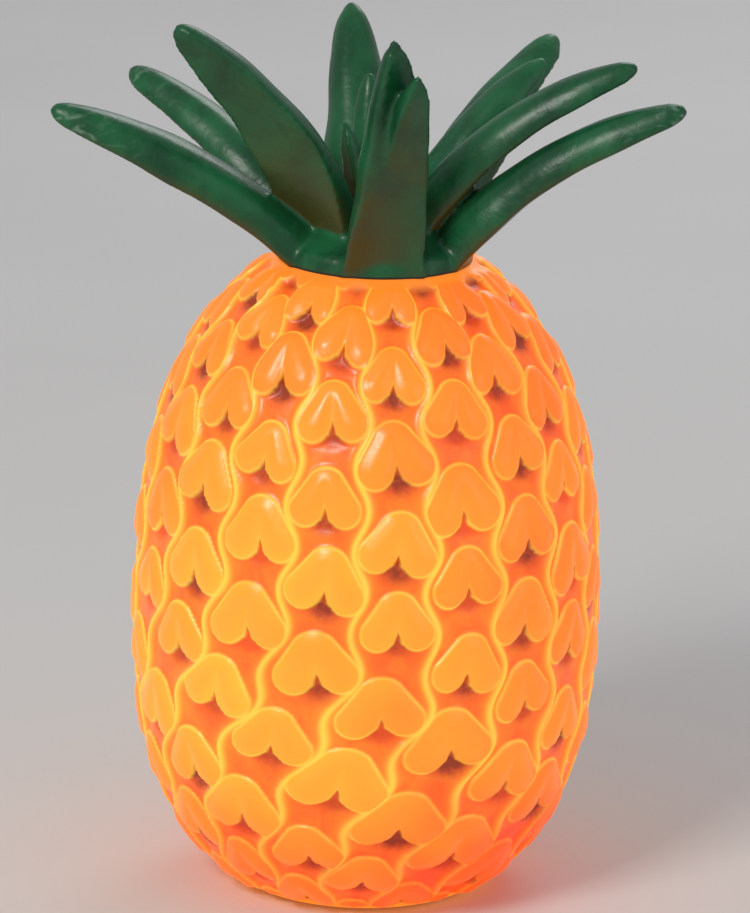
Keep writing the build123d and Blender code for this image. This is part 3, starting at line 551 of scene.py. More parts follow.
@dataclass(frozen=True)
class HeartReading:
    """Where a point lies in the pattern. Distances are millimetres, and negative inside a heart."""

    lattice: HeartLattice
    edge: Signal
    x: Signal
    y: Signal
    line_gap: Signal
    column: Signal
    row: Signal
    angle: Signal
    rise: Signal

    def bare(self) -> Signal:
        """1 over the pattern, falling to 0 on the smooth bands at the neck and the foot."""
        length = self.lattice.length
        return self.rise.rise(2.5, 7.0) * self.rise.rise(length - 1.5, length - 7.5)

    def heart(self, soft: float = 0.5) -> Signal:
        """1 inside a heart."""
        return self.edge.rise(soft, -soft)

    def line(self, width: float) -> Signal:
        """1 on the raised line between two columns."""
        return self.line_gap.bell(width)

    def star(self) -> Signal:
        """1 in the hollow under a heart's notch, which has concave sides."""
        across = (abs(self.x) * (1 / 13.0)) ** 0.75
        upright = (abs(self.y + 10.5) * (1 / 8.5)) ** 0.8
        return (1.25 - across - upright).rise(0.0, 0.85) * self.y.rise(-16.0, -12.0)

    def height(self) -> Signal:
        """The relief, in millimetres above the plain skin."""
        lattice = self.lattice
        pillow = self.edge.rise(0.8, -1.2) * lattice.heart_rise + self.edge.rise(0.4, -6.2) * lattice.dome
        lip = (self.edge + 0.7).bell(0.8) * 0.2
        line = self.line(1.8) * lattice.line_rise
        ground = self.star() * self.edge.rise(-0.4, 1.2) * -lattice.hollow
        raised = (pillow + lip).at_least(line)
        return (raised + ground) * self.bare()


@dataclass(frozen=True)
class LitSkin:
    """The fruit's translucent skin, hand-tinted, with the bulb's light through it painted on as emission."""

    lattice: HeartLattice
    name: str = "shell_plastic"

    def material(self) -> bpy.types.Material:
        """Builds the finish."""
        finish = Finish(self.name)
        x, y, _ = finish.axes()
        rise, girth = (self.layer(finish, layer) for layer in ("rise", "girth"))
        reading = self.lattice.read(finish, x, y, rise, girth)
        glow = self.glow(finish, reading)
        relief = reading.edge.rise(0.5, -0.5) * 0.75 + (reading.edge + 0.5).bell(0.45) * 0.35
        relief = relief.at_least(reading.line(0.9)) * reading.bare()
        scuffs = finish.noise(420, 5, swirl=0.7)
        dents = finish.noise(130, 3)
        normal = finish.bump(relief, 0.00045, 0.7)
        fine = finish.node(
            "ShaderNodeBump", Height=scuffs * 0.3 + dents, Distance=0.00035, Strength=0.55, Normal=normal
        )
        rough = 0.33 + (scuffs - 0.5) * 0.3 + reading.star() * 0.1
        tint = finish.blend(0.88, glow, tone(110, 30, 8))
        sockets = dict(Coat_Weight=0.22, Coat_Roughness=0.25, Specular_IOR_Level=0.4)
        sockets.update(Emission_Color=glow, Emission_Strength=0.9, Normal=fine.outputs[0])
        return finish.shade(Base_Color=tint, Roughness=rough, **sockets)

    @staticmethod
    def layer(finish: Finish, name: str) -> Signal:
        """A number kept on the piece's own corners."""
        return Signal(finish, finish.node("ShaderNodeAttribute", {"attribute_name": name}).outputs["Fac"])

    def glow(self, finish: Finish, at: HeartReading) -> bpy.types.NodeSocket:
        """The painted glow that the skin sends out as emission: the paint's pattern times the bulb's light
        behind it.
        """
        heart, line, star = at.heart(0.45), at.line(1.5), at.star()
        wash = finish.noise(26, 3, swirl=0.3)
        streak = finish.noise(75, 4, swirl=0.8)
        own = (at.column * 2.2 + at.row * 3.9).sin() * 0.5 + 0.5
        # painted pool of the bulb's light, brightest at the front left halfway up, mixed with random tone per
        # heart and noise
        painted_lamplight = (at.angle + 28.0).bell(48.0) * (at.rise - 120.0).bell(85.0)
        painted_lamplight = (painted_lamplight * 0.6 + own * 0.25 + wash * 0.35 - 0.12).at_least(0.0).at_most(1.0)
        ground = finish.blend(streak.rise(0.3, 0.7), tone(250, 104, 28), tone(255, 132, 32))
        near_line = at.line_gap.bell(4.2)
        ground = finish.blend(near_line * 0.5, ground, tone(255, 156, 38))
        ground = finish.blend(star, ground, tone(234, 88, 22))
        petal = finish.blend(painted_lamplight, tone(255, 140, 36), tone(255, 192, 52))
        petal = finish.blend(at.edge.rise(-1.0, -6.0) * 0.35, petal, tone(255, 158, 44))
        colour = finish.blend(heart, ground, petal)
        # the hearts' rims and the raised lines are unpainted plastic, with more of the painted glow where the
        # wall is thin
        rim_place = (at.y + 2.0).rise(-3.0, 3.0) * 0.3 + at.y.rise(-6.0, -9.0) * 0.35 + 0.45
        rim = (at.edge + 0.15).bell(0.6) * rim_place * (finish.noise(70, 2) * 1.6 + 0.15)
        colour = finish.blend(rim, colour, tone(255, 212, 78))
        lines = line * at.edge.rise(-1.5, 0.3)
        colour = finish.blend(lines * 0.88, colour, tone(255, 220, 76))
        # painted shadow in each heart's notch
        colour = finish.blend(self.notch_shadow(at), colour, tone(150, 52, 14))
        colour = finish.blend(self.smudge(finish, at), colour, tone(112, 42, 18))
        # painted falloff of the glow, multiplied in
        painted_glow_falloff = self.painted_glow_falloff(finish, at)
        colour = finish.blend(painted_glow_falloff, colour, tone(255, 96, 36), "MULTIPLY")
        return finish.blend(at.bare(), tone(255, 140, 40), colour)

    @staticmethod
    def notch_shadow(at: HeartReading) -> Signal:
        """Painted shadow along the right side of a heart's notch."""
        side = at.x.rise(-0.6, 0.5) * at.x.rise(5.0, 2.8)
        level = at.y.rise(1.5, -0.5) * at.y.rise(-9.0, -5.5)
        return (at.edge - 0.25).bell(0.55) * side * level * 0.75

    @staticmethod
    def smudge(finish: Finish, at: HeartReading) -> Signal:
        """The brown paint dabbed under a heart's notch, stronger low down and on some hearts."""
        dab_x = (at.x - 0.8) * (1 / 5.6)
        dab_y = (at.y + 10.0) * (1 / 4.6)
        dab = (dab_x * dab_x + dab_y * dab_y).root().bell(1.0)
        own = (at.column * 2.9 + at.row * 5.3 + 0.6).sin() * 0.45 + 0.45
        low = at.rise.rise(120.0, 40.0) * 0.5
        high = at.rise.rise(175.0, 235.0) * 0.55
        ragged = finish.noise(420, 3).rise(0.25, 0.65)
        return (dab * (own + low + high) * (ragged * 0.6 + 0.65) * at.edge.rise(-1.2, 0.8)).at_most(0.92)

    @staticmethod
    def painted_glow_falloff(finish: Finish, at: HeartReading) -> Signal:
        """How much the painted glow is dimmed and reddened towards the foot, the neck and one side, with random
        redder patches.
        """
        low = at.rise.rise(88.0, 12.0) * 0.6
        high = at.rise.rise(190.0, 262.0) * 0.16
        side = (at.angle - 62.0).bell(34.0) * 0.3
        patches = finish.noise(17, 2).rise(0.48, 0.75) * 0.22
        return (low + high + side + patches).at_most(0.8)


@dataclass(frozen=True)
class LitInside:
    """The shell's plain inner face, with the bulb's light painted on as emission, brightest at the bulb's
    height.
    """

    name: str = "shell_inside"

    def material(self) -> bpy.types.Material:
        """Builds the finish."""
        finish = Finish(self.name)
        _, _, height = finish.axes()
        # painted pool of the bulb's light around the bulb's height
        near_bulb = (height - 0.105).bell(0.075)
        flow = finish.noise(60, 4, swirl=0.6)
        painted_dim_light = finish.blend(flow, tone(226, 110, 38), tone(244, 134, 52))
        painted_lamplight = finish.blend(flow, tone(255, 176, 84), tone(255, 192, 104))
        colour = finish.blend(near_bulb, painted_dim_light, painted_lamplight)
        paint = finish.blend(flow, tone(236, 168, 104), tone(246, 188, 124))
        rough = 0.5 + (flow - 0.5) * 0.3
        normal = finish.bump(finish.noise(220, 4), 0.0003)
        light = dict(Emission_Color=colour, Emission_Strength=0.45)
        return finish.shade(Base_Color=paint, Roughness=rough, Normal=normal, **light)


@dataclass(frozen=True)
class Outline:
    """The fruit's side line as a smooth curve through a few radius and height pairs."""

    points: tuple[tuple[float, float], ...]

    def at(self, count: int) -> tuple[np.ndarray, float]:
        """Points spaced evenly along the line.

        Args:
            count: how many.

        Returns:
            The points as rows of radius and height, and the line's length.
        """
        dense = self._curve(2000)
        steps = np.concatenate([[0.0], np.cumsum(np.hypot(*np.diff(dense, axis=0).T))])
        where = np.linspace(0.0, steps[-1], count)
        even = np.column_stack([np.interp(where, steps, dense[:, axis]) for axis in (0, 1)])
        return even, float(steps[-1])

    def _curve(self, count: int) -> np.ndarray:
        """A cubic spline by chord length whose first two and last two spans are one curve each."""
        spots = np.array(self.points)
        gaps = np.hypot(*np.diff(spots, axis=0).T)
        knots = np.concatenate([[0.0], np.cumsum(gaps)])
        size = len(knots)
        matrix, right = np.zeros((size, size)), np.zeros((size, 2))
        for i in range(1, size - 1):
            matrix[i, i - 1 : i + 2] = gaps[i - 1], 2 * (gaps[i - 1] + gaps[i]), gaps[i]
            slope_after = (spots[i + 1] - spots[i]) / gaps[i]
            right[i] = 6 * (slope_after - (spots[i] - spots[i - 1]) / gaps[i - 1])
        matrix[0, :3] = gaps[1], -(gaps[0] + gaps[1]), gaps[0]
        matrix[-1, -3:] = gaps[-1], -(gaps[-1] + gaps[-2]), gaps[-2]
        bend = np.linalg.solve(matrix, right)
        where = np.linspace(0.0, knots[-1], count)
        span = np.clip(np.searchsorted(knots, where) - 1, 0, size - 2)
        gap = gaps[span][:, None]
        ahead, behind = (knots[span + 1] - where)[:, None], (where - knots[span])[:, None]
        cubic = (bend[span] * ahead**3 + bend[span + 1] * behind**3) / (6 * gap)
        near = (spots[span] / gap - bend[span] * gap / 6) * ahead
        far = (spots[span + 1] / gap - bend[span + 1] * gap / 6) * behind
        return cubic + near + far


class Rings:
    """Points and faces of a body of revolution, built up ring by ring along a closed section."""

    def __init__(self) -> None:
        """Starts with nothing."""
        self.points: list[tuple[float, float, float]] = []
        self.faces: list[tuple[int, ...]] = []
        self.layers: dict[str, list[float]] = {"rise": [], "girth": [], "skin": []}
        self.rings: list[tuple[int, int]] = []

    def ring(
        self, radius: float, height: float, count: int, rise: float = 0.0, girth: float = 1.0, skin: float = 0.0
    ) -> None:
        """Adds a ring and joins it to the one before.

        Args:
            radius, height: where, in metres.
            count: how many points.
            rise, girth, skin: what the ring's points carry for the relief and the paint.
        """
        first = len(self.points)
        for i in range(count):
            angle = 2 * math.pi * i / count + math.pi / 2
            self.points.append((radius * math.cos(angle), radius * math.sin(angle), height))
        for key, value in (("rise", rise), ("girth", girth), ("skin", skin)):
            self.layers[key] += [value] * count
        self.rings.append((first, count))
        if len(self.rings) > 1:
            self._stitch(self.rings[-2], self.rings[-1])

    def _stitch(self, lower: tuple[int, int], upper: tuple[int, int]) -> None:
        """Fills the band between two rings, which may have different counts."""
        (low, low_count), (high, high_count) = lower, upper
        if low_count == high_count:
            for i in range(low_count):
                j = (i + 1) % low_count
                self.faces.append((low + i, low + j, high + j, high + i))
            return
        i = j = 0
        while i < low_count or j < high_count:
            if j >= high_count or (i < low_count and (i + 1) / low_count <= (j + 1) / high_count):
                self.faces.append((low + i, low + (i + 1) % low_count, high + j % high_count))
                i += 1
            else:
                self.faces.append((low + i % low_count, high + (j + 1) % high_count, high + j))
                j += 1

    def close(self) -> None:
        """Joins the last ring to the first."""
        self._stitch(self.rings[-1], self.rings[0])

    def mesh(self, name: str) -> bpy.types.Mesh:
        """Returns the mesh, with its layers as attributes."""
        mesh = bpy.data.meshes.new(name)
        mesh.from_pydata(self.points, [], self.faces)
        for key, values in self.layers.items():
            mesh.attributes.new(key, "FLOAT", "POINT").data.foreach_set("value", values)
        mesh.update()
        return mesh


def linked(name: str, mesh: bpy.types.Mesh) -> bpy.types.Object:
    """Puts a mesh in the scene as an object at the origin."""
    piece = bpy.data.objects.new(name, mesh)
    bpy.context.scene.collection.objects.link(piece)
    return piece


def settled(piece: bpy.types.Object) -> bpy.types.Object:
    """Turns a piece's modifiers into plain mesh and removes them."""
    bpy.context.view_layer.update()
    evaluated = piece.evaluated_get(bpy.context.evaluated_depsgraph_get())
    mesh = bpy.data.meshes.new_from_object(evaluated)
    mesh.name = piece.name
    piece.modifiers.clear()
    piece.data = mesh
    return piece


def outward(mesh: bpy.types.Mesh) -> None:
    """Points every face of a closed mesh outwards."""
    shape = bmesh.new()
    shape.from_mesh(mesh)
    bmesh.ops.recalc_face_normals(shape, faces=shape.faces)
    shape.to_mesh(mesh)
    shape.free()


def smooth_but_for(mesh: bpy.types.Mesh, degrees: float) -> None:
    """Shades a mesh smooth except where faces meet at more than this angle."""
    mesh.shade_smooth()
    mesh.set_sharp_from_angle(angle=math.radians(degrees))


class GeometryTree(Board):
    """A Geometry Nodes tree with named inputs, run as a modifier."""

    def __init__(self, name: str, inputs: dict[str, tuple[str, Any]]) -> None:
        """Makes the tree and its sockets.

        Args:
            name: the tree's name.
            inputs: each input's socket type and value, by name.
        """
        super().__init__(bpy.data.node_groups.new(name, "GeometryNodeTree"))
        self.values: dict[str, Any] = {}
        face = self.tree.interface
        face.new_socket("Geometry", in_out="INPUT", socket_type="NodeSocketGeometry")
        for label, (kind, value) in inputs.items():
            socket = face.new_socket(label, in_out="INPUT", socket_type=kind)
            self.values[socket.identifier] = value
        face.new_socket("Geometry", in_out="OUTPUT", socket_type="NodeSocketGeometry")
        self.start = self.node("NodeGroupInput")

    def given(self, label: str) -> bpy.types.NodeSocket:
        """The tree's own input of this name."""
        return self.start.outputs[label]

    def number(self, label: str) -> Signal:
        """The tree's own input of this name, for arithmetic."""
        return Signal(self, self.given(label))

    def position(self) -> tuple[Signal, Signal, Signal]:
        """The place of each point of the mesh, in metres."""
        return self.split(self.node("GeometryNodeInputPosition").outputs[0])

    def above(self, number: Signal, least: float) -> bpy.types.NodeSocket:
        """True where a number is more than this."""
        settings = {"data_type": "FLOAT", "operation": "GREATER_THAN"}
        return self.node("FunctionNodeCompare", settings, in0=number, in1=least).outputs[0]

    def finish(self, geometry: bpy.types.NodeSocket) -> None:
        """Sends the geometry to the tree's output."""
        self.node("NodeGroupOutput", in0=geometry)

    def run_on(self, piece: bpy.types.Object) -> bpy.types.Object:
        """Runs the tree on a piece and leaves plain mesh."""
        modifier = piece.modifiers.new("made", "NODES")
        modifier.node_group = self.tree
        for identifier, value in self.values.items():
            modifier[identifier] = value
        return settled(piece)


@dataclass
class FruitShell:
    """The fruit: a relief-moulded wall, a floor with vents and a collar for the crown."""

    lattice: HeartLattice = field(default_factory=HeartLattice)
    columns: int = 420  # of the skin's mesh
    rows: int = 200
    inner_columns: int = 140
    inner_rows: int = 30
    belly_height: float = 0.104
    rim_width: float = 0.048
    wall: float = 0.0034
    floor_height: float = 0.007
    floor_wall: float = 0.003
    hole: float = 0.0386
    collar_depth: float = 0.010
    collar_wall: float = 0.0024
    seat_width: float = 0.0036
    sink: float = 1.5  # millimetres that the plain skin lies under the frame's outline
    notch_half: float = 0.0225
    notch_top: float = 0.0225
    notch_depth: float = 0.12  # of the block that cuts it, from the axis
    notch_height: float = 0.06
    vents: int = 16
    vent_radius: float = 0.002
    vent_circle: float = 0.04775
    vent_depth: float = 0.008
    vent_sides: int = 20
    spigot_gap: float = 0.0004  # between the crown's spigot and the collar
    foot_fade: float = 9.0  # millimetres over which the sunk skin comes out to the rim, and to the neck
    neck_fade: float = 8.0
    girth_power: float = 0.6  # how slowly the hearts narrow with the fruit
    sharp: float = 72.0  # degrees between faces that stay a crisp edge

    def outline(self) -> Outline:
        """The side line, from the frame's own sizes."""
        low, high = self.frame_box()
        belly, rim, base = high.x, self.rim_width, low.z
        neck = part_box("neck_ring")[1].z
        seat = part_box("crown_spigot")[1].x + self.spigot_gap + self.seat_width
        below, above = self.belly_height - base, neck - self.belly_height
        foot_step, neck_step = belly - rim, belly - seat
        return Outline(
            (
                (rim, base),
                (rim + 0.46 * foot_step, base + 0.16 * below),
                (rim + 0.88 * foot_step, base + 0.52 * below),
                (belly, self.belly_height),
                (seat + 0.92 * neck_step, self.belly_height + 0.44 * above),
                (seat + 0.56 * neck_step, self.belly_height + 0.80 * above),
                (seat, neck),
            )
        )

    @staticmethod
    def frame_nodes() -> list[str]:
        """The frame's nodes that this piece stands for."""
        staves = sorted(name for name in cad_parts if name.startswith("wall_stave"))
        return staves + ["shell_floor", "neck_ring"]

    def frame_box(self) -> tuple[Vector, Vector]:
        """The lowest and highest corner of those nodes."""
        boxes = [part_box(name) for name in self.frame_nodes()]
        low = Vector([min(box[0][axis] for box in boxes) for axis in range(3)])
        high = Vector([max(box[1][axis] for box in boxes) for axis in range(3)])
        return low, high

    def blank(self) -> bpy.types.Mesh:
        """The closed shell of revolution, with a fine outer skin that carries the pattern's layers."""
        outer, length = self.outline().at(self.rows)
        slope = np.gradient(outer, axis=0)
        slope /= np.linalg.norm(slope, axis=1)[:, None]
        inwards = np.column_stack([-slope[:, 1], slope[:, 0]])
        girths = (outer[:, 0] / outer[:, 0].max()) ** self.girth_power
        rises = np.linspace(0.0, length / MM, self.rows)
        fade = np.clip(rises / self.foot_fade, 0, 1) * np.clip((rises[-1] - rises) / self.neck_fade, 0, 1)
        skin = outer + inwards * (self.sink * MM * fade)[:, None]
        shape = Rings()
        for (radius, height), rise, girth in zip(skin, rises, girths):
            shape.ring(radius, height, self.columns, rise, girth, 1.0)
        top = outer[-1, 1]
        collar = outer[-1, 0] - self.seat_width
        collar_foot, collar_outside = top - self.collar_depth, collar + self.collar_wall
        under_neck = top - self.floor_wall * 1.4
        plain_rings = [(collar, top), (collar, collar_foot), (collar_outside, collar_foot)]
        plain_rings.append((collar_outside, under_neck))
        inner = outer + inwards * self.wall
        floor_top = self.floor_height + self.floor_wall
        under_seat = inner[(inner[:, 1] > floor_top + MM) & (inner[:, 1] < top - self.floor_wall * 1.5)]
        under_seat = under_seat[:: max(1, len(under_seat) // self.inner_rows)]
        plain_rings += [(radius, height) for radius, height in under_seat[::-1]]
        foot_side = inner[:60]
        at_top, at_floor = (
            float(np.interp(height, foot_side[:, 1], foot_side[:, 0]))
            for height in (floor_top, self.floor_height)
        )
        plain_rings += [(at_top, floor_top), (self.hole, floor_top)]
        plain_rings += [(self.hole, self.floor_height), (at_floor, self.floor_height)]
        plain_rings.append((outer[0, 0] - self.floor_wall, outer[0, 1] + 0.2 * MM))
        for radius, height in plain_rings:
            shape.ring(radius, height, self.inner_columns)
        shape.close()
        mesh = shape.mesh("pineapple_shell")
        outward(mesh)
        return mesh

    def tree(self, skin: bpy.types.Material, inside: bpy.types.Material) -> GeometryTree:
        """The nodes that raise the relief, then cut the vents and the opening for the base's nose."""
        tree = GeometryTree(
            "pineapple_relief",
            {
                "Relief": ("NodeSocketFloat", 1.0),
                "Vents": ("NodeSocketInt", self.vents),
                "Vent_circle": ("NodeSocketFloat", self.vent_circle),
                "Vent_radius": ("NodeSocketFloat", self.vent_radius),
                "Notch_half_width": ("NodeSocketFloat", self.notch_half),
                "Notch_top": ("NodeSocketFloat", self.notch_top),
                "Skin": ("NodeSocketMaterial", skin),
                "Inside": ("NodeSocketMaterial", inside),
            },
        )
        raised = self._raise(tree)
        cutters = tree.node("GeometryNodeJoinGeometry")
        for part in (self._vent_pegs(tree), self._notch(tree)):
            tree.join(cutters, "in0", part)
        cut = tree.node("GeometryNodeMeshBoolean", {"operation": "DIFFERENCE", "solver": "MANIFOLD"})
        tree.join(cut, "in0", raised)
        tree.join(cut, "in1", cutters.outputs[0])
        whole = tree.node("GeometryNodeRealizeInstances", in0=cut.outputs[0])
        plain = tree.node("GeometryNodeSetMaterial", in0=whole.outputs[0], Material=tree.given("Inside"))
        dressed = tree.node("GeometryNodeSetMaterial", in0=plain.outputs[0], Material=tree.given("Skin"))
        tree.join(dressed, "Selection", tree.above(self._layer(tree, "skin"), 0.6))
        tree.finish(dressed.outputs[0])
        return tree

    @staticmethod
    def _layer(tree: GeometryTree, name: str) -> Signal:
        """One of the mesh's own layers."""
        node = tree.node("GeometryNodeInputNamedAttribute", {"data_type": "FLOAT"}, Name=name)
        return Signal(tree, node.outputs[0])

    def _raise(self, tree: GeometryTree) -> bpy.types.NodeSocket:
        """Moves the skin out along its normals by the relief's height."""
        x, y, _ = tree.position()
        reading = self.lattice.read(tree, x, y, self._layer(tree, "rise"), self._layer(tree, "girth"))
        height = reading.height() * tree.number("Relief") * self._layer(tree, "skin") * MM
        normal = tree.node("GeometryNodeInputNormal").outputs[0]
        offset = tree.node("ShaderNodeVectorMath", {"operation": "SCALE"}, in0=normal, Scale=height)
        moved = tree.node("GeometryNodeSetPosition", in0=tree.given("Geometry"), Offset=offset.outputs[0])
        return moved.outputs[0]

    def _vent_pegs(self, tree: GeometryTree) -> bpy.types.NodeSocket:
        """A peg for each vent, none of them at the opening."""
        ring = dict(Vertices=tree.given("Vents"), Radius=tree.given("Vent_circle"))
        circle = tree.node("GeometryNodeMeshCircle", **ring)
        half_step = (0, 0, math.pi / self.vents)
        turned = tree.node("GeometryNodeTransform", Geometry=circle.outputs[0], Rotation=half_step)
        size = dict(Radius=tree.given("Vent_radius"), Depth=self.vent_depth)
        peg = tree.node("GeometryNodeMeshCylinder", Vertices=self.vent_sides, **size)
        x, y, _ = tree.position()
        clear = tree.number("Notch_half_width") + tree.number("Vent_radius") * 2.0
        apart = (y * -1.0).at_least(abs(x) - clear)
        pegs = tree.node("GeometryNodeInstanceOnPoints", Points=turned.outputs[0], Instance=peg.outputs[0])
        tree.join(pegs, "Selection", tree.above(apart, 0.0))
        middle = (0, 0, self.floor_height + self.floor_wall / 2)
        placed = tree.node("GeometryNodeTransform", Geometry=pegs.outputs[0], Translation=middle)
        return tree.node("GeometryNodeRealizeInstances", in0=placed.outputs[0]).outputs[0]

    def _notch(self, tree: GeometryTree) -> bpy.types.NodeSocket:
        """The block that clears the base's nose."""
        wide, deep, tall = tree.number("Notch_half_width") * 2.0, self.notch_depth, self.notch_height
        size = tree.node("ShaderNodeCombineXYZ", X=wide, Y=deep, Z=tall)
        cube = tree.node("GeometryNodeMeshCube", Size=size.outputs[0])
        height = tree.number("Notch_top") - tall / 2
        place = tree.node("ShaderNodeCombineXYZ", X=0.0, Y=deep / 2, Z=height)
        moved = tree.node("GeometryNodeTransform", Geometry=cube.outputs[0], Translation=place.outputs[0])
        return moved.outputs[0]

    def build(self) -> bpy.types.Object:
        """Makes and dresses the shell."""
        skin, inside = LitSkin(self.lattice).material(), LitInside().material()
        piece = self.tree(skin, inside).run_on(linked("pineapple_shell", self.blank()))
        smooth_but_for(piece.data, self.sharp)
        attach(piece, "shell")
        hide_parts(*self.frame_nodes())
        return piece


# --- leaf crown --------------------------------------------------------------------------------
@dataclass(frozen=True)
class Leaf:
    """One leaf. Lengths are millimetres from the lamp's axis and above the seam.

    The compass angle runs anticlockwise from +X, so -90 points to the front.
    """

    compass: float
    root_radius: float
    root_rise: float
    tip_radius: float
    tip_rise: float
    curl: float
    width: float
    roll: float = 0.0  # degrees about its own line
    tip_width: float = 0.32
    thickness: float = 0.4
    edge: float = 3.0  # thickness that doesn't follow the width
    stations: int = 46
    around: int = 40
    buried: float = 9.0  # how far the root runs on into the hub
    past_tip: float = 4.0  # how far the rounded end runs on past the tip

    def taper(self, share: float) -> float:
        """The width at a share of the length, over the root's."""
        return self.tip_width + (1 - self.tip_width) * (1 - share**2.2) ** 0.75

    def spine(self, share: float) -> tuple[float, float, float]:
        """The radius, height and heading of the leaf's middle line."""
        climb, run = self.tip_rise - self.root_rise, self.tip_radius - self.root_radius
        bend = math.radians(self.curl)
        first = math.atan2(climb, run) + bend / 2
        arc = math.hypot(climb, run) / (2 * math.sin(bend / 2))
        heading = first - bend * share
        radius = self.root_radius + arc * (math.sin(first) - math.sin(heading))
        return radius, self.root_rise + arc * (math.cos(heading) - math.cos(first)), heading

    def section(self, width: float) -> np.ndarray:
        """The outline across the leaf, flat outside and round inside, as sideways and inward pairs."""
        half, deep = width / 2, (width * self.thickness + self.edge * min(1.0, width / 9)) / 2
        angles = np.linspace(0, 2 * math.pi, self.around, endpoint=False)
        side, up = np.cos(angles), np.sin(angles)
        squared = np.sign(side) * np.abs(side) ** 0.72
        upper = np.where(up > 0, up, 0) * 2 * deep - deep
        lower = -deep * (1 + 0.12 * np.abs(up) ** 0.5)
        return np.column_stack([squared * half, np.where(up > 0, upper, lower)])

    def solid(self, shape: bmesh.types.BMesh, seam: float) -> None:
        """Adds the leaf to a mesh.

        Args:
            shape: the mesh.
            seam: the seam's height, in metres.
        """
        span = math.hypot(self.tip_rise - self.root_rise, self.tip_radius - self.root_radius)
        below, reach = self.buried / span, self.past_tip / span
        rounding = 1 - self.width * self.tip_width * 0.3 / span
        rings = []
        angle = math.radians(self.compass)
        out = Vector((math.cos(angle), math.sin(angle), 0))
        across = Vector((-math.sin(angle), math.cos(angle), 0))
        for step in range(self.stations):
            share = 1 + reach - (1 + reach + below) * (1 - step / (self.stations - 1)) ** 1.35
            radius, height, heading = self.spine(share)
            width = self.width * self.taper(min(1.0, max(share, 0.0)))
            if share > rounding:
                past = (share - rounding) / (1 + reach - rounding)
                width *= math.sqrt(max(0.0, 1 - past**2)) * 0.97 + 0.03
            wobble = 1 + 0.035 * math.sin(share * 11 + self.compass)
            wobble += 0.02 * math.sin(share * 23 + self.curl)
            inward = out * -math.sin(heading) + Vector((0, 0, math.cos(heading)))
            turn = math.radians(self.roll) * min(1.0, max(0.0, share * 2.5))
            inward, sideward = (
                inward * math.cos(turn) - across * math.sin(turn),
                across * math.cos(turn) + inward * math.sin(turn),
            )
            middle = out * radius + Vector((0, 0, height))
            ring = []
            for sideways, lift in self.section(width * wobble):
                twist = 0.035 * math.sin(share * 5 + self.compass * 0.3)
                spot = middle + sideward * (sideways + twist * lift) + inward * (lift + twist * sideways)
                ring.append(shape.verts.new(spot * MM + Vector((0, 0, seam))))
            rings.append(ring)
        for low, high in zip(rings, rings[1:]):
            for i in range(self.around):
                j = (i + 1) % self.around
                shape.faces.new((low[i], low[j], high[j], high[i]))
        shape.faces.new(rings[0][::-1])
        shape.faces.new(rings[-1])


@dataclass(frozen=True)
class LeafPaint:
    """Glossy dark green paint, rubbed pale at the tips, with the lamp's light painted on the downward faces
    near the seam and a painted shadow along the seam.
    """

    seam: float
    name: str = "leaf_plastic"

    def material(self) -> bpy.types.Material:
        """Builds the finish."""
        finish = Finish(self.name)
        x, y, z = finish.axes()
        reach = (x * x + y * y).root()
        brush = finish.noise(38, 5, stretch=(1, 1, 0.5), swirl=0.8)
        fine = finish.noise(260, 4, swirl=0.4)
        colour = finish.blend(brush.rise(0.3, 0.7), tone(8, 64, 36), tone(22, 98, 56))
        colour = finish.blend(fine.rise(0.5, 0.85) * 0.25, colour, tone(42, 120, 78))
        patches = finish.noise(120, 5, stretch=(1, 1, 2), swirl=1.2).rise(0.5, 0.72)
        rubbed = reach.rise(0.085, 0.125) * patches
        colour = finish.blend(rubbed * 0.5, colour, tone(150, 182, 158))
        # painted glow of the lamp on the leaves' downward faces near the seam, in the colour and as emission
        low = (z - self.seam).rise(0.072, 0.004)
        _, _, facing = finish.split(finish.node("ShaderNodeNewGeometry").outputs["Normal"])
        painted_lamplight = low * facing.rise(0.25, -0.35) * (brush * 0.6 + 0.7)
        colour = finish.blend(painted_lamplight.at_most(1.0) * 0.8, colour, tone(54, 54, 16))
        painted_lamp_glow = finish.blend(painted_lamplight.at_most(1.0), tone(0, 0, 0), tone(74, 40, 10))
        # painted shadow in the gap at the seam
        seam_shadow = (z - self.seam).rise(0.0011, 0.0004)
        colour = finish.blend(seam_shadow, colour, tone(12, 16, 10))
        rough = 0.36 + (brush - 0.5) * 0.2 + rubbed * 0.22 + (fine - 0.5) * 0.12
        dents = finish.noise(70, 4, swirl=0.5) * 0.7 + fine * 0.12
        gloss = dict(Coat_Weight=0.12, Coat_Roughness=0.25, Specular_IOR_Level=0.35)
        gloss.update(Emission_Color=painted_lamp_glow, Emission_Strength=0.3, Normal=finish.bump(dents, 0.0011, 0.8))
        return finish.shade(Base_Color=colour, Roughness=rough, **gloss)


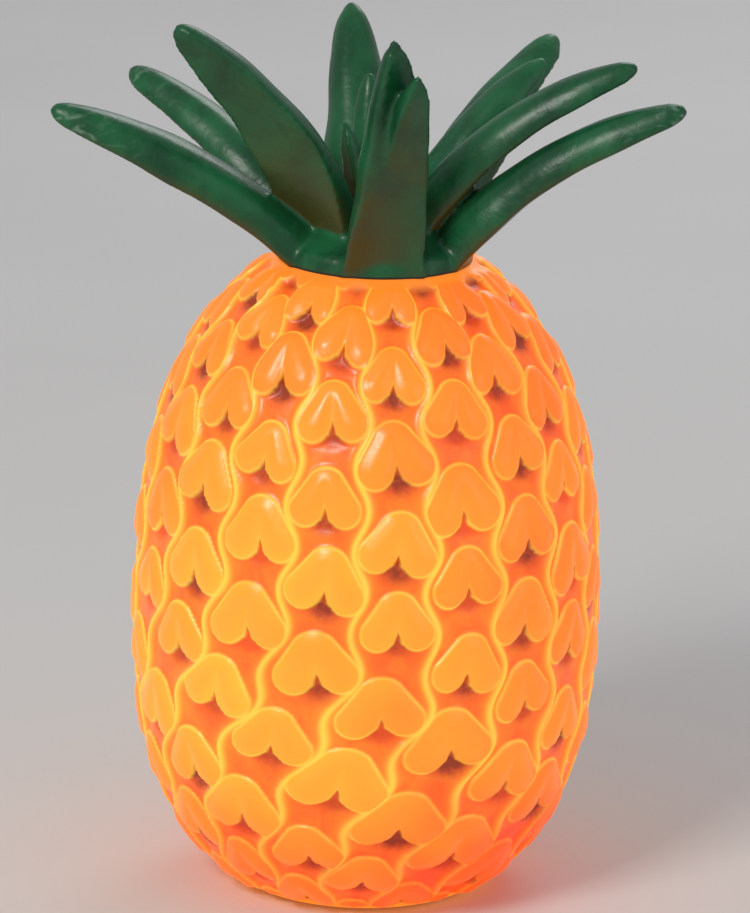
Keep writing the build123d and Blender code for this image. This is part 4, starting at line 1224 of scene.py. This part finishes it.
@dataclass
class LeafCrown:
    """The crown: leaves that flow out of one hub, with a ring under it that drops into the collar."""

    grain: float = 1.15 * MM  # the size of the cubes that fuse the leaves
    hub_height: float = 15.0
    hub_shrink: float = 15.0
    hub_sides: int = 96
    tool_sides: int = 120
    sharp: float = 50.0  # degrees between faces that stay a crisp edge
    # compass, root radius and rise, tip radius and rise, curl, width, roll, tip width
    leaves: tuple[Leaf, ...] = (
        Leaf(190, 27, 4, 120, 57, 26, 31, -6),
        Leaf(-85, 27, 3, 55, 91, 16, 31, 30, 0.16),
        Leaf(-13, 27, 4, 113, 64, 34, 31),
        Leaf(46, 26, 5, 94, 71, 30, 30),
        Leaf(99, 26, 6, 73, 80, 24, 29),
        Leaf(148, 27, 4, 110, 56, 30, 29, 10),
        Leaf(212, 15, 10, 85, 93, 28, 29, 38),
        Leaf(-78, 20, 10, 64, 80, 18, 22, 20, 0.22),
        Leaf(-8, 14, 12, 93, 77, 40, 27),
        Leaf(31, 14, 12, 70, 68, 28, 23),
        Leaf(104, 9, 12, 16, 64, 10, 17),
        Leaf(205, 5, 12, 13, 50, 14, 13),
    )

    def seam(self) -> float:
        """The height of the seam between the crown and the fruit."""
        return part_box("leaf_crown")[0].z

    def hub(self, shape: bmesh.types.BMesh) -> None:
        """Adds the hub that the leaves grow from, a little below the seam so that it can be trimmed flat."""
        seam, radius = self.seam(), (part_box("crown_spigot")[1].x + 0.004) / MM
        rings = (
            (radius - 0.6, -3.0),
            (radius, 0.0),
            (radius - 0.3, 2.5),
            (radius - 1.2, 0.4 * self.hub_height),
            (radius - self.hub_shrink, self.hub_height),
            (6.0, self.hub_height * 1.2),
        )
        loops = []
        for size, height in rings:
            loop = []
            for i in range(self.hub_sides):
                angle = 2 * math.pi * i / self.hub_sides
                spot = Vector((size * math.cos(angle), size * math.sin(angle), height)) * MM
                loop.append(shape.verts.new(spot + Vector((0, 0, seam))))
            loops.append(loop)
        for low, high in zip(loops, loops[1:]):
            for i in range(self.hub_sides):
                j = (i + 1) % self.hub_sides
                shape.faces.new((low[i], low[j], high[j], high[i]))
        shape.faces.new(loops[0][::-1])
        shape.faces.new(loops[-1])

    def fused(self) -> bpy.types.Object:
        """The leaves and the hub as one skin with soft valleys."""
        shape = bmesh.new()
        self.hub(shape)
        for leaf in self.leaves:
            leaf.solid(shape, self.seam())
        mesh = bpy.data.meshes.new("pineapple_leaves")
        shape.to_mesh(mesh)
        shape.free()
        piece = linked("pineapple_leaves", mesh)
        remesh = piece.modifiers.new("fuse", "REMESH")
        remesh.mode, remesh.voxel_size = "VOXEL", self.grain
        soften = piece.modifiers.new("soften", "SMOOTH")
        soften.factor, soften.iterations = 0.5, 5
        return settled(piece)

    def tool(self, name: str, rings: Iterable[tuple[float, float]], closed: bool) -> bpy.types.Object:
        """A body of revolution for trimming or joining.

        Args:
            name: the object's name.
            rings: radius and height pairs.
            closed: whether the last ring joins the first, as in a tube; else both ends are capped.

        Returns:
            The object.
        """
        shape = Rings()
        for radius, height in rings:
            shape.ring(radius, height, self.tool_sides)
        if closed:
            shape.close()
        else:
            ends = list(range(len(shape.points)))
            shape.faces += [tuple(ends[: self.tool_sides][::-1]), tuple(ends[-self.tool_sides :])]
        mesh = shape.mesh(name)
        outward(mesh)
        return linked(name, mesh)

    def build(self) -> bpy.types.Object:
        """Makes and dresses the crown."""
        piece = self.fused()
        seam, spigot = self.seam(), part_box("crown_spigot")
        bore, foot = spigot[1].x - 3 * MM, spigot[0].z
        under = self.tool("under_seam", [(0.2, seam - 0.02), (0.2, seam)], False)
        well = self.tool("well", [(bore, seam - 0.001), (bore, seam + 0.001)], False)
        side, lap = spigot[1].x, seam + 1.5 * MM
        ring = [(side, foot), (side, lap), (bore + 0.1 * MM, lap), (bore, foot)]
        collar = self.tool("spigot_ring", ring, True)
        for tool, operation in ((under, "DIFFERENCE"), (well, "DIFFERENCE"), (collar, "UNION")):
            cut = piece.modifiers.new(tool.name, "BOOLEAN")
            cut.operation, cut.object, cut.solver = operation, tool, "MANIFOLD"
        settled(piece)
        for tool in (under, well, collar):
            bpy.data.objects.remove(tool)
        piece.data.materials.clear()
        piece.data.materials.append(LeafPaint(seam).material())
        smooth_but_for(piece.data, self.sharp)
        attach(piece, "crown")
        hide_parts("leaf_crown", "crown_spigot")
        return piece


# --- base, lampholder, bulb, switch and wiring ---------------------------------------------------
@dataclass(frozen=True)
class Dressing:
    """A group of the frame's own pieces with a finish for each."""

    title: str
    finishes: dict[str, Any]

    def build(self) -> None:
        """Gives every node its finish."""
        for name, finish in self.finishes.items():
            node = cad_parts[name]
            material = bpy.data.materials.get(finish.name) or finish.material()
            for slot in node.material_slots:
                slot.material = material
            if not node.material_slots:
                node.data.materials.append(material)
            log.info("%s: %s finished as %s", self.title, name, finish.name)


WHITE_BASE = MouldedPlastic("base_plastic", tone(226, 220, 206), tone(204, 196, 180), 0.52)
BLACK_HOLDER = MouldedPlastic("holder_plastic", tone(40, 38, 36), tone(22, 21, 20), 0.45)
BLACK_SWITCH = MouldedPlastic("switch_plastic", tone(30, 30, 31), tone(14, 14, 15), 0.28, 3800, 0.00002)
MARKED_ROCKER = MarkedRocker("rocker_plastic", tone(34, 34, 35), tone(16, 16, 17), 0.24, 3800, 0.00002)
BLACK_BUSH = MouldedPlastic("bush_plastic", tone(38, 38, 39), tone(20, 20, 21), 0.5, 3000)
MILKY_BLOCK = MouldedPlastic("block_plastic", tone(232, 230, 220), tone(208, 206, 196), 0.4, 1800)
ZINC = Metal("plated_steel", tone(206, 205, 198), tone(150, 142, 118), 0.3)
BRASS = Metal("brass", tone(222, 178, 92), tone(128, 84, 34), 0.28)
SPUN_CAP = Metal("cap_metal", tone(214, 212, 208), tone(146, 138, 126), 0.26)
SOLDER = Metal("solder", tone(196, 196, 196), tone(128, 126, 124), 0.42, 900)
STEATITE = Ceramic("core_ceramic", tone(230, 226, 212), tone(150, 142, 124))
FUSED_GLASS = Ceramic("cap_insulator", tone(26, 26, 30), tone(60, 58, 64), 0.25)
BROWN = LeadSleeve("brown_insulation", tone(106, 58, 32), tone(78, 40, 20))
BLUE = LeadSleeve("blue_insulation", tone(50, 104, 190), tone(30, 74, 150))
GLASS, FILAMENT, RUBBER = ClearGlass(), GlowingWire(), MouldedRubber()

GROUPS = (
    Dressing(
        "base",
        {"base_housing": WHITE_BASE, "base_cover": WHITE_BASE, "foot_ring": RUBBER, "cover_screws": ZINC},
    ),
    Dressing(
        "lampholder",
        {
            "threaded_nipple": ZINC,
            "nipple_nut": ZINC,
            "lock_washer": ZINC,
            "holder_cap": BLACK_HOLDER,
            "holder_core": STEATITE,
            "holder_skirt": BLACK_HOLDER,
            "thread_sleeve": BRASS,
            "centre_contact": BRASS,
            "holder_terminals": BRASS,
            "terminal_clamp_screws": ZINC,
        },
    ),
    Dressing(
        "bulb",
        {
            "bulb_glass": GLASS,
            "bulb_cap": SPUN_CAP,
            "bulb_insulator": FUSED_GLASS,
            "bulb_contact": SOLDER,
            "bulb_stem": GLASS,
            "bulb_support_wires": ZINC,
            "bulb_filament": FILAMENT,
        },
    ),
    Dressing(
        "switch",
        {
            "switch_frame": BLACK_SWITCH,
            "switch_rocker": MARKED_ROCKER,
            "switch_spades": BRASS,
            "spade_receptacles": BRASS,
        },
    ),
    Dressing(
        "wiring",
        {
            "cord_bush": BLACK_BUSH,
            "terminal_block": MILKY_BLOCK,
            "block_inserts": BRASS,
            "block_clamp_screws": ZINC,
            "block_screw": ZINC,
            "live_lead": BROWN,
            "neutral_lead": BLUE,
            "switch_lead": BROWN,
        },
    ),
)


# --- studio ------------------------------------------------------------------------------------
class Light(Enum):
    """The studio's lamps: place, aim, size, power and tint."""

    KEY = ((-1.1, -1.6, 1.7), 0.7, 30.0, (1.0, 0.97, 0.93))
    FILL = ((1.9, -1.2, 0.9), 1.6, 5.0, (0.93, 0.96, 1.0))
    RIM = ((0.6, 1.9, 1.5), 1.0, 9.0, (1.0, 1.0, 1.0))


@dataclass(frozen=True)
class Studio:
    """A plain pale floor, soft light and the camera."""

    aim: tuple[float, float, float] = (0.0, 0.0, 0.123)
    distance: float = 2.0
    elevation: float = 17.0
    roll: float = 1.6
    lens: float = 205.0
    right: float = 0.0021
    up: float = 0.0427
    sky: float = 0.5
    floor_half: float = 7.0

    def build(self) -> None:
        """Makes the floor, the world, the lamps and the camera."""
        self.floor()
        self.world()
        for light in Light:
            self.lamp(light)
        self.camera()
        bpy.context.scene.view_settings.view_transform = "Standard"

    def floor(self) -> None:
        """A wide pale floor with a faint plaster grain."""
        mesh = bpy.data.meshes.new("studio_floor")
        half = self.floor_half
        corners = [(-half, -half, 0), (half, -half, 0), (half, half, 0), (-half, half, 0)]
        mesh.from_pydata(corners, [], [(0, 1, 2, 3)])
        floor = linked("studio_floor", mesh)
        finish = Finish("studio_floor")
        clouds = finish.noise(3, 4)
        colour = finish.blend(clouds, tone(206, 205, 203), tone(216, 215, 213))
        mesh.materials.append(finish.shade(Base_Color=colour, Roughness=0.75 + (clouds - 0.5) * 0.1))

    def world(self) -> None:
        """An even pale surround."""
        world = bpy.data.worlds.new("studio_world")
        world.use_nodes = True
        background = next(n for n in world.node_tree.nodes if n.type == "BACKGROUND")
        background.inputs[0].default_value = tone(232, 234, 238)
        background.inputs[1].default_value = self.sky
        bpy.context.scene.world = world

    def lamp(self, light: Light) -> None:
        """One square soft light that faces the lamp."""
        place, size, power, tint = light.value
        data = bpy.data.lights.new("studio_" + light.name.lower(), "AREA")
        data.size, data.energy, data.color = size, power, tint
        lamp = bpy.data.objects.new(data.name, data)
        bpy.context.scene.collection.objects.link(lamp)
        lamp.location = place
        towards = Vector(self.aim) - Vector(place)
        lamp.rotation_euler = towards.to_track_quat("-Z", "Y").to_euler()

    def camera(self) -> None:
        """The camera, in front and above, turned a little about its own axis."""
        slope = math.radians(self.elevation)
        back = Vector((0, -math.cos(slope), math.sin(slope)))
        up = Vector((0, math.sin(slope), math.cos(slope)))
        place = Vector(self.aim) + back * self.distance
        look = Vector(self.aim) + Vector((1, 0, 0)) * self.right + up * self.up - place
        data = bpy.data.cameras.new("studio_camera")
        data.lens, data.clip_start, data.clip_end = self.lens, 0.05, 50.0
        camera = bpy.data.objects.new("studio_camera", data)
        bpy.context.scene.collection.objects.link(camera)
        turn = look.to_track_quat("-Z", "Y").to_matrix().to_4x4()
        own_roll = Matrix.Rotation(math.radians(self.roll), 4, "Z")
        camera.matrix_world = Matrix.Translation(place) @ turn @ own_roll
        bpy.context.scene.camera = camera


def main() -> None:
    """Builds the lamp, one sub-assembly after another, and its studio."""
    logging.basicConfig(level=logging.INFO, format="%(name)s: %(message)s")
    Studio().build()
    for part in (FruitShell(), LeafCrown()):
        piece = part.build()
        log.info("%s: %d faces", piece.name, len(piece.data.polygons))
    for group in GROUPS:
        group.build()


if __name__ == "__main__":
    main()
